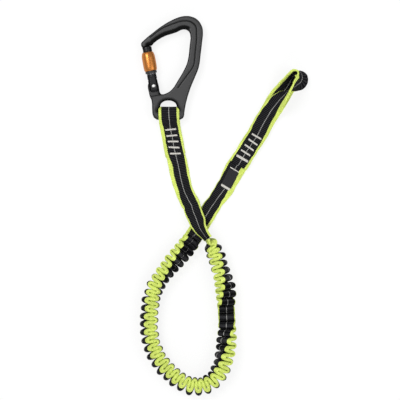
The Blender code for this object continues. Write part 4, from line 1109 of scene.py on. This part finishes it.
class TETHER_OT_sewn_patch(Operator):
    """Bare woven patch between its two bar tacks"""

    bl_idname = "tether.sewn_patch"
    bl_label = "Sewn patch"

    def execute(self, context):
        spots = np.linspace(PATCH_ENDS[0] + PATCH_INSET, PATCH_ENDS[1] - PATCH_INSET, PATCH_ROWS)
        path = read_rows(loop_rows(), spots)
        path[:, 2] += PATCH_LIFT
        half, thick = np.full(PATCH_ROWS, PATCH_HALF), np.full(PATCH_ROWS, PATCH_THICK)
        across, out, cloth = section_offsets(tape_section(), half, thick, PATCH_HALF)
        grid = set_off(path, 0.0, across, out)
        mesh = grid_mesh(grid, cloth=cloth_layer(cloth, run_length(path), 0.0))
        add_piece("sewn_patch", mesh, patch_material(), "tether", "patch", "id_patch")
        return {"FINISHED"}


def even_quads(node, voxel):
    """Points and quads of a merged copy of a CAD node, cut afresh into even quads of one voxel."""
    copy = frame["nodes"][node].data.copy()
    work = bmesh.new()
    work.from_mesh(copy)
    bmesh.ops.remove_doubles(work, verts=work.verts, dist=0.005 * MM)
    work.to_mesh(copy)
    work.free()
    obj = bpy.data.objects.new("even quads", copy)
    bpy.context.scene.collection.objects.link(obj)
    remesh = obj.modifiers.new("even quads", "REMESH")
    remesh.mode = "VOXEL"
    remesh.voxel_size = voxel
    even = bpy.data.meshes.new_from_object(obj.evaluated_get(bpy.context.evaluated_depsgraph_get()))
    points = np.empty(len(even.vertices) * 3)
    even.vertices.foreach_get("co", points)
    corners = np.empty(len(even.loops), dtype=np.int64)
    even.loops.foreach_get("vertex_index", corners)
    bpy.data.objects.remove(obj)
    for mesh in (copy, even):
        bpy.data.meshes.remove(mesh)
    return points.reshape(-1, 3), corners.reshape(-1, 4)


def neighbour_mean(values, quads):
    """Mean of the values at each point's neighbours along the quads' edges."""
    start = quads.ravel()
    end = np.roll(quads, -1, axis=1).ravel()
    count = np.bincount(start, minlength=len(values)) + np.bincount(end, minlength=len(values))
    total = [np.bincount(start, column[end], len(values)) + np.bincount(end, column[start], len(values))
             for column in values.T]
    return (np.array(total) / count).T


def smoothed(points, quads, rounds):
    """Points drawn 0.5 of the way to their neighbours' mean and pushed 0.52 back, round after round."""
    for _ in range(rounds):
        for pull in (0.5, -0.52):
            points = points + pull * (neighbour_mean(points, quads) - points)
    return points


def point_normals(points, quads):
    """Normals at the points: the sum of their quads' normals, each the cross of its two diagonals."""
    face = np.cross(points[quads[:, 2]] - points[quads[:, 0]], points[quads[:, 3]] - points[quads[:, 1]])
    total = [np.bincount(quads.ravel(), np.repeat(column, 4), len(points)) for column in face.T]
    return unit(np.array(total).T + 1e-18)


def least_distance(points, targets):
    """Distance from each flat point to the nearest target: sqrt(p.p + t.t - 2 p.t), in slices of points."""
    least = []
    for part in np.array_split(points, max(1, len(points) // 6000)):
        square = (part ** 2).sum(1)[:, None] + (targets ** 2).sum(1)[None] - 2 * part @ targets.T
        least.append(np.sqrt(np.maximum(square.min(axis=1), 0)))
    return np.concatenate(least)


def rounding(distance, radius, drop):
    """Height lost at a rounded rim, from its radius and drop in millimetres.

    Within the radius it is drop (1 - sqrt(1 - (1 - d / r)^2)), and nothing beyond.
    """
    inward = 1 - np.clip(distance / (radius * MM), 0, 1)
    return drop * MM * (1 - np.sqrt(1 - inward ** 2))


def body_relief(points, normals):
    """Half height wanted over each point of the forged body, and its painted shade.

    Half height = half thickness - the largest of the outer rounding, the inner rounding or slope and the
    eye's rounding, - a bell curve about the channel. The slope takes the rounding's place on the upper arm.
    The painted shade falls from 1 at the rims, on the slope, by the eye, in the channel, at the step below
    the gate and on the side walls, where shade falls.
    """
    look = settings().metal
    flat = points[:, :2] - BODY_MIDDLE[:2]
    x, y = flat.T / MM
    wall = (np.abs(points[:, 2] - BODY_MIDDLE[2]) < 0.6 * look.voxel) & (np.abs(normals[:, 2]) < 0.5)
    edge, edge_out = flat[wall], normals[wall, :2]
    eye = EYE_BAR[:2] - BODY_MIDDLE[:2] + np.array([0, EYE_REACH / 2])
    in_eye = (np.linalg.norm(edge - eye, axis=1) < EYE_REACH) & (np.sum(edge_out * (eye - edge), axis=1) > 0)
    in_opening = ~in_eye & (np.sum(edge_out * (np.array(OPENING) * MM - edge), axis=1) > 0)
    outer = least_distance(flat, edge[~in_eye & ~in_opening])
    inner = least_distance(flat, edge[in_opening])
    to_eye = least_distance(flat, edge[in_eye])
    route = even_rows([(x * MM, y * MM, 0) for x, y in CHANNEL], 0.2 * MM)
    channel = bell(least_distance(flat, route[:, :2]) / (0.7 * MM))
    step = bell(((points - RIVET) @ GATE_AXIS + FORK_ROOM) / (0.8 * MM)) * fade(np.abs(x + 22) - 9, 3)
    arm = ease(((y - 45) - 0.9 * (x - 19.2)) / 5 + 0.5)
    slope = look.slope_drop * fade(inner * 0.85 + look.slope_width * 0.15, look.slope_width)
    upper = (1 - arm) * rounding(inner, radius=2.4, drop=2.6) + arm * slope
    lost = np.maximum.reduce([rounding(outer, radius=3.0, drop=3.1), rounding(to_eye, radius=3.6, drop=3.0),
                              upper])
    half = (BODY_HIGH[2] - BODY_LOW[2]) / 2 - lost - look.channel_depth * channel
    # painted shade: darker at the rims, on the slope, round the eye, in the channel and at the step under
    # the gate block
    dark = np.maximum.reduce([
        0.86 * fade(outer, 2.0 * MM), 0.86 * fade(inner, 1.9 * MM), 0.9 * fade(to_eye - 0.63 * MM, 4.2 * MM),
        0.86 * arm * fade(inner / look.slope_width - 0.72, 0.34), 0.85 * np.minimum(1, 1.3 * channel),
        0.8 * step * (y < -25)])
    # painted shade: the side walls, which face away from the light, are darker still
    return half, (1 - dark) * (0.3 + 0.7 * ease(np.abs(normals[:, 2]) / 0.6))


def forged_body():
    """The forged body: an even copy of its solid with the relief pressed into both faces.

    The relief leaves out the round bar of the eye, and the eye's side walls are drawn in towards it.
    """
    points, quads = even_quads("carabiner_body", settings().metal.voxel)
    points = smoothed(points, quads, 5)
    normals = point_normals(points, quads)
    half, tone = body_relief(points, normals)
    height = points[:, 2] - BODY_MIDDLE[2]
    across, along = ((points - EYE_BAR)[:, :2] / MM).T
    beside_bar = np.maximum(np.abs(along) - EYE_BAR_RADIUS / MM - 0.6, np.abs(across) - BAR_HALF)
    pressed = ease(np.abs(height) / MM - 3.3) * ease((np.abs(normals[:, 2]) - 0.12) / 0.3)
    pressed = pressed * ease(beside_bar / 0.8)
    drawn = EYE_DRAW * ease((15.5 - along) / 7) * ease((along + 7) / 4)
    drawn = drawn * fade(np.abs(across) - 13.8, 4.2) * ease(np.abs(across) / 11)
    points[:, 0] -= np.sign(across) * drawn
    points[:, 2] = BODY_MIDDLE[2] + height * (1 - pressed) + np.sign(height) * half * pressed
    return smoothed(points, quads, 3), quads, neighbour_mean(tone[:, None], quads)[:, 0]


def gate_surface():
    """The gate: an even copy of its solid with a fuller upper end and squarer cheeks below the rivet.

    Below the rivet the half width sqrt(R^2 - a^2) becomes R (1 - (a / R)^4)^(1/4), with a stretched to the
    cheeks' reach. The thread's grooves are half filled. A painted highlight runs along the gate's middle and
    on the thread's upper crest, and painted shade lies on its sides and on its end below the rivet.
    Distances are in millimetres from the rivet.
    """
    points, quads = even_quads("gate_arm", GATE_VOXEL)
    from_rivet = (smoothed(points, quads, 3) - RIVET) / MM
    side, along, up = from_rivet @ GATE_SIDE, from_rivet @ GATE_AXIS, from_rivet[:, 2]
    below = along < 0
    share = np.clip(-along / GATE_RADIUS, 0, 1)
    square = np.maximum(1 - share ** 4, 0.02) ** 0.25 / np.sqrt(np.maximum(1 - share ** 2, 0.004))
    side = side * np.where(below, square, 1.0)
    side = side * (1 + 0.13 * ease((along + 4.5) / 3.5) * fade(along - 7.0, 0.8))
    along = along * np.where(below, GATE_REACH / GATE_RADIUS, 1.0)
    size = np.hypot(side, up)
    turned = size > 4.9
    thread = turned & (along > GATE_THREAD[0]) & (along < GATE_THREAD[1])
    wanted = np.where(thread, size + 0.55 * (GATE_RADIUS - size), size)
    wider = (wanted + 0.2 * turned * ease((along - GATE_END) / 1.2)) / np.maximum(size, 1e-6)
    side, up = side * wider, up * wider
    crest = bell((along - THREAD_CREST) / 0.55) * turned
    # painted highlight along the middle and on the thread's upper crest, painted shade on the sides
    tone = 0.12 + 0.6 * fade(np.abs(side) / GATE_RADIUS - 0.4, 0.4) + 3.0 * crest
    # painted shade on the end below the rivet
    tone = tone * np.where(along < -4.6, 0.5, 1.0)
    points = RIVET + MM * (side[:, None] * GATE_SIDE + along[:, None] * GATE_AXIS + up[:, None] * UP)
    return points, quads, tone


def add_forged(name, surface, material, body, slot, node):
    """A piece of even quads with its painted light and shade at each point."""
    points, quads, tone = surface
    add_piece(name, new_mesh(points, quads.tolist(), tone=tone), material, body, slot, node)


def turned_grid(profile, origin=RIVET, axis=GATE_AXIS, side=GATE_SIDE, segments=96):
    """Points of a shape turned about an axis.

    Point = origin + a axis + r (cos t side + sin t up), with (r, a) from the profile in millimetres.
    """
    radius, along = np.array(profile).T * MM
    angle = np.linspace(0, math.tau, segments, endpoint=False)
    ring = np.cos(angle)[:, None] * side + np.sin(angle)[:, None] * np.cross(side, axis)
    return origin + along[:, None, None] * axis + radius[:, None, None] * ring[None]


def rounded_profile(corners, step=0.25):
    """A closed profile through corners of (radius, along, rounding), each cut by an arc-like curve.

    Each corner becomes a quadratic curve between points at its rounding's distance on both sides:
    (1 - t)^2 p + 2 t (1 - t) q + t^2 r.
    """
    points = []
    for index, (radius, along, cut) in enumerate(corners):
        here = np.array([radius, along])
        start = here + cut * unit(np.array(corners[index - 1][:2]) - here)
        end = here + cut * unit(np.array(corners[(index + 1) % len(corners)][:2]) - here)
        for t in np.linspace(0, 1, max(2, int(cut / step) + 2)):
            points.append((1 - t) ** 2 * start + 2 * t * (1 - t) * here + t ** 2 * end)
    return np.array(points)


class TETHER_OT_carabiner_body(Operator):
    """Forged body of the carabiner"""

    bl_idname = "tether.carabiner_body"
    bl_label = "Carabiner body"

    def execute(self, context):
        look = settings().metal
        grey = metal_material("body grey", look.body, 0.46, 0.3, toned=True, specular=0.4)
        add_forged("forged_body", forged_body(), grey, "carabiner", "body_metal", "carabiner_body")
        return {"FINISHED"}


class TETHER_OT_gate(Operator):
    """Hinged gate with its rivet, and the steel pieces inside it"""

    bl_idname = "tether.gate"
    bl_label = "Gate"

    def execute(self, context):
        look = settings().metal
        black = metal_material("gate black", look.gate, 0.36, 0.3, toned=True)
        add_forged("hinged_gate", gate_surface(), black, "gate", "gate_metal", "gate_arm")
        steel = metal_material("bright steel", look.steel, 0.3, 0.6)
        frame["nodes"]["gate_plunger"].material_slots[0].material = steel
        make_rivet(steel)
        make_spring(steel)
        return {"FINISHED"}


def make_rivet(steel):
    """Hinge rivet: a pin with a dome at both ends.

    Over each head, height = top - 0.75 r^2.4 in millimetres, with r from 0 to 1.
    """
    low, high = (np.array(corner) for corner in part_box("gate_rivet"))
    pin, head, head_thickness, half = 1.6, 1.8, 0.9, (high[2] - low[2]) / 2 / MM
    dome = [(head * r, half - 0.75 * r ** 2.4) for r in np.linspace(0.02, 1, 9)]
    upper = np.array([*dome, (head, half - head_thickness - 0.03), (pin, half - head_thickness - 0.06)])
    profile = np.vstack([upper, upper[::-1] * [1, -1]])
    grid = turned_grid(profile, (low + high) / 2, UP, np.array([1.0, 0.0, 0.0]), 64)
    add_piece("hinge_rivet", grid_mesh(grid), steel, "carabiner", "steel", "gate_rivet")


def make_spring(steel):
    """Spring in the gate's bore: middle = r cos a, r sin a and an even rise, with a from 0 to the last turn.
    """
    turn = np.linspace(0, math.tau * SPRING_TURNS, SPRING_TURNS * 24 + 1)[:, None]
    rise = np.linspace(SPRING_START, SPRING_END, len(turn))[:, None]
    path = RIVET + SPRING_RADIUS * (np.cos(turn) * GATE_SIDE + np.sin(turn) * UP) + rise * GATE_AXIS
    spring = add_piece("coil_spring", grid_mesh(thread_tube(path, SPRING_WIRE, 8)), steel, "gate", "steel",
                       "gate_spring")
    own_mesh(spring)


class TETHER_OT_lock_sleeve(Operator):
    """Barrel of the screw lock, and a black ring below it: painted shade of the sleeve's lower chamfer, made
    as a part
    """

    bl_idname = "tether.lock_sleeve"
    bl_label = "Lock sleeve"

    def execute(self, context):
        look = settings().metal
        sleeve = [(SLEEVE_BORE, 18.2, 0.3), (7.05, 18.2, 0.4), (7.75, 19.9, 1.0), (8.02, 23.0, 1.4),
                  (8.1, 29.4, 2.0), (8.02, 35.2, 1.4), (7.7, 37.6, 1.0), (7.15, 39.6, 0.8), (6.5, 40.9, 0.4),
                  (SLEEVE_BORE, 40.9, 0.3)]
        orange = metal_material("sleeve orange", look.sleeve, 0.34, 0.85)
        mesh = grid_mesh(turned_grid(rounded_profile(sleeve)), closed=True)
        add_piece("turned_sleeve", mesh, orange, "sleeve", "sleeve_metal", "lock_sleeve")
        # A black ring below the sleeve: painted shade of the sleeve's lower chamfer, made as a part
        ring = [(SLEEVE_BORE, 15.4, 0.15), (6.7, 15.4, 0.25), (6.95, 16.0, 0.3), (6.95, 17.4, 0.3),
                (6.7, 17.9, 0.2), (SLEEVE_BORE, 17.9, 0.15)]
        black = metal_material("ring painted shade", look.ring, 0.45, 0.0)
        mesh = grid_mesh(turned_grid(rounded_profile(ring, 0.1)), closed=True)
        add_piece("turned_ring", mesh, black, "sleeve_guide", "ring_plastic", "sleeve_guide_ring")
        return {"FINISHED"}


class TETHER_PT_panel(Panel):
    """Lists the tether's operators"""

    bl_idname = "TETHER_PT_panel"
    bl_label = "Safety Tether"
    bl_space_type = "VIEW_3D"
    bl_region_type = "UI"
    bl_category = "Tether"

    def draw(self, context):
        for step in STEPS:
            self.layout.operator(step.bl_idname)


STEPS = (TETHER_OT_stage, TETHER_OT_bar_tacks, TETHER_OT_sewn_patch, TETHER_OT_carabiner_webbing,
         TETHER_OT_gathered_webbing, TETHER_OT_loop_webbing, TETHER_OT_carabiner_body, TETHER_OT_gate,
         TETHER_OT_lock_sleeve)
CLASSES = (TetherWebbing, TetherGather, TetherThread, TetherMetal, TetherStage, TetherSettings, *STEPS,
           TETHER_PT_panel)


def register():
    """Register the settings, the operators and the panel."""
    for item in CLASSES:
        bpy.utils.register_class(item)
    bpy.types.Scene.tether = PointerProperty(type=TetherSettings)


def unregister():
    """Undo register."""
    del bpy.types.Scene.tether
    for item in reversed(CLASSES):
        bpy.utils.unregister_class(item)


def main():
    """Make the tether."""
    register()
    bpy.ops.tether.stage()
    bpy.ops.tether.bar_tacks()
    bpy.ops.tether.sewn_patch()
    bpy.ops.tether.carabiner_webbing()
    bpy.ops.tether.gathered_webbing()
    bpy.ops.tether.loop_webbing()
    bpy.ops.tether.carabiner_body()
    bpy.ops.tether.gate()
    bpy.ops.tether.lock_sleeve()


if __name__ == "__main__":
    main()
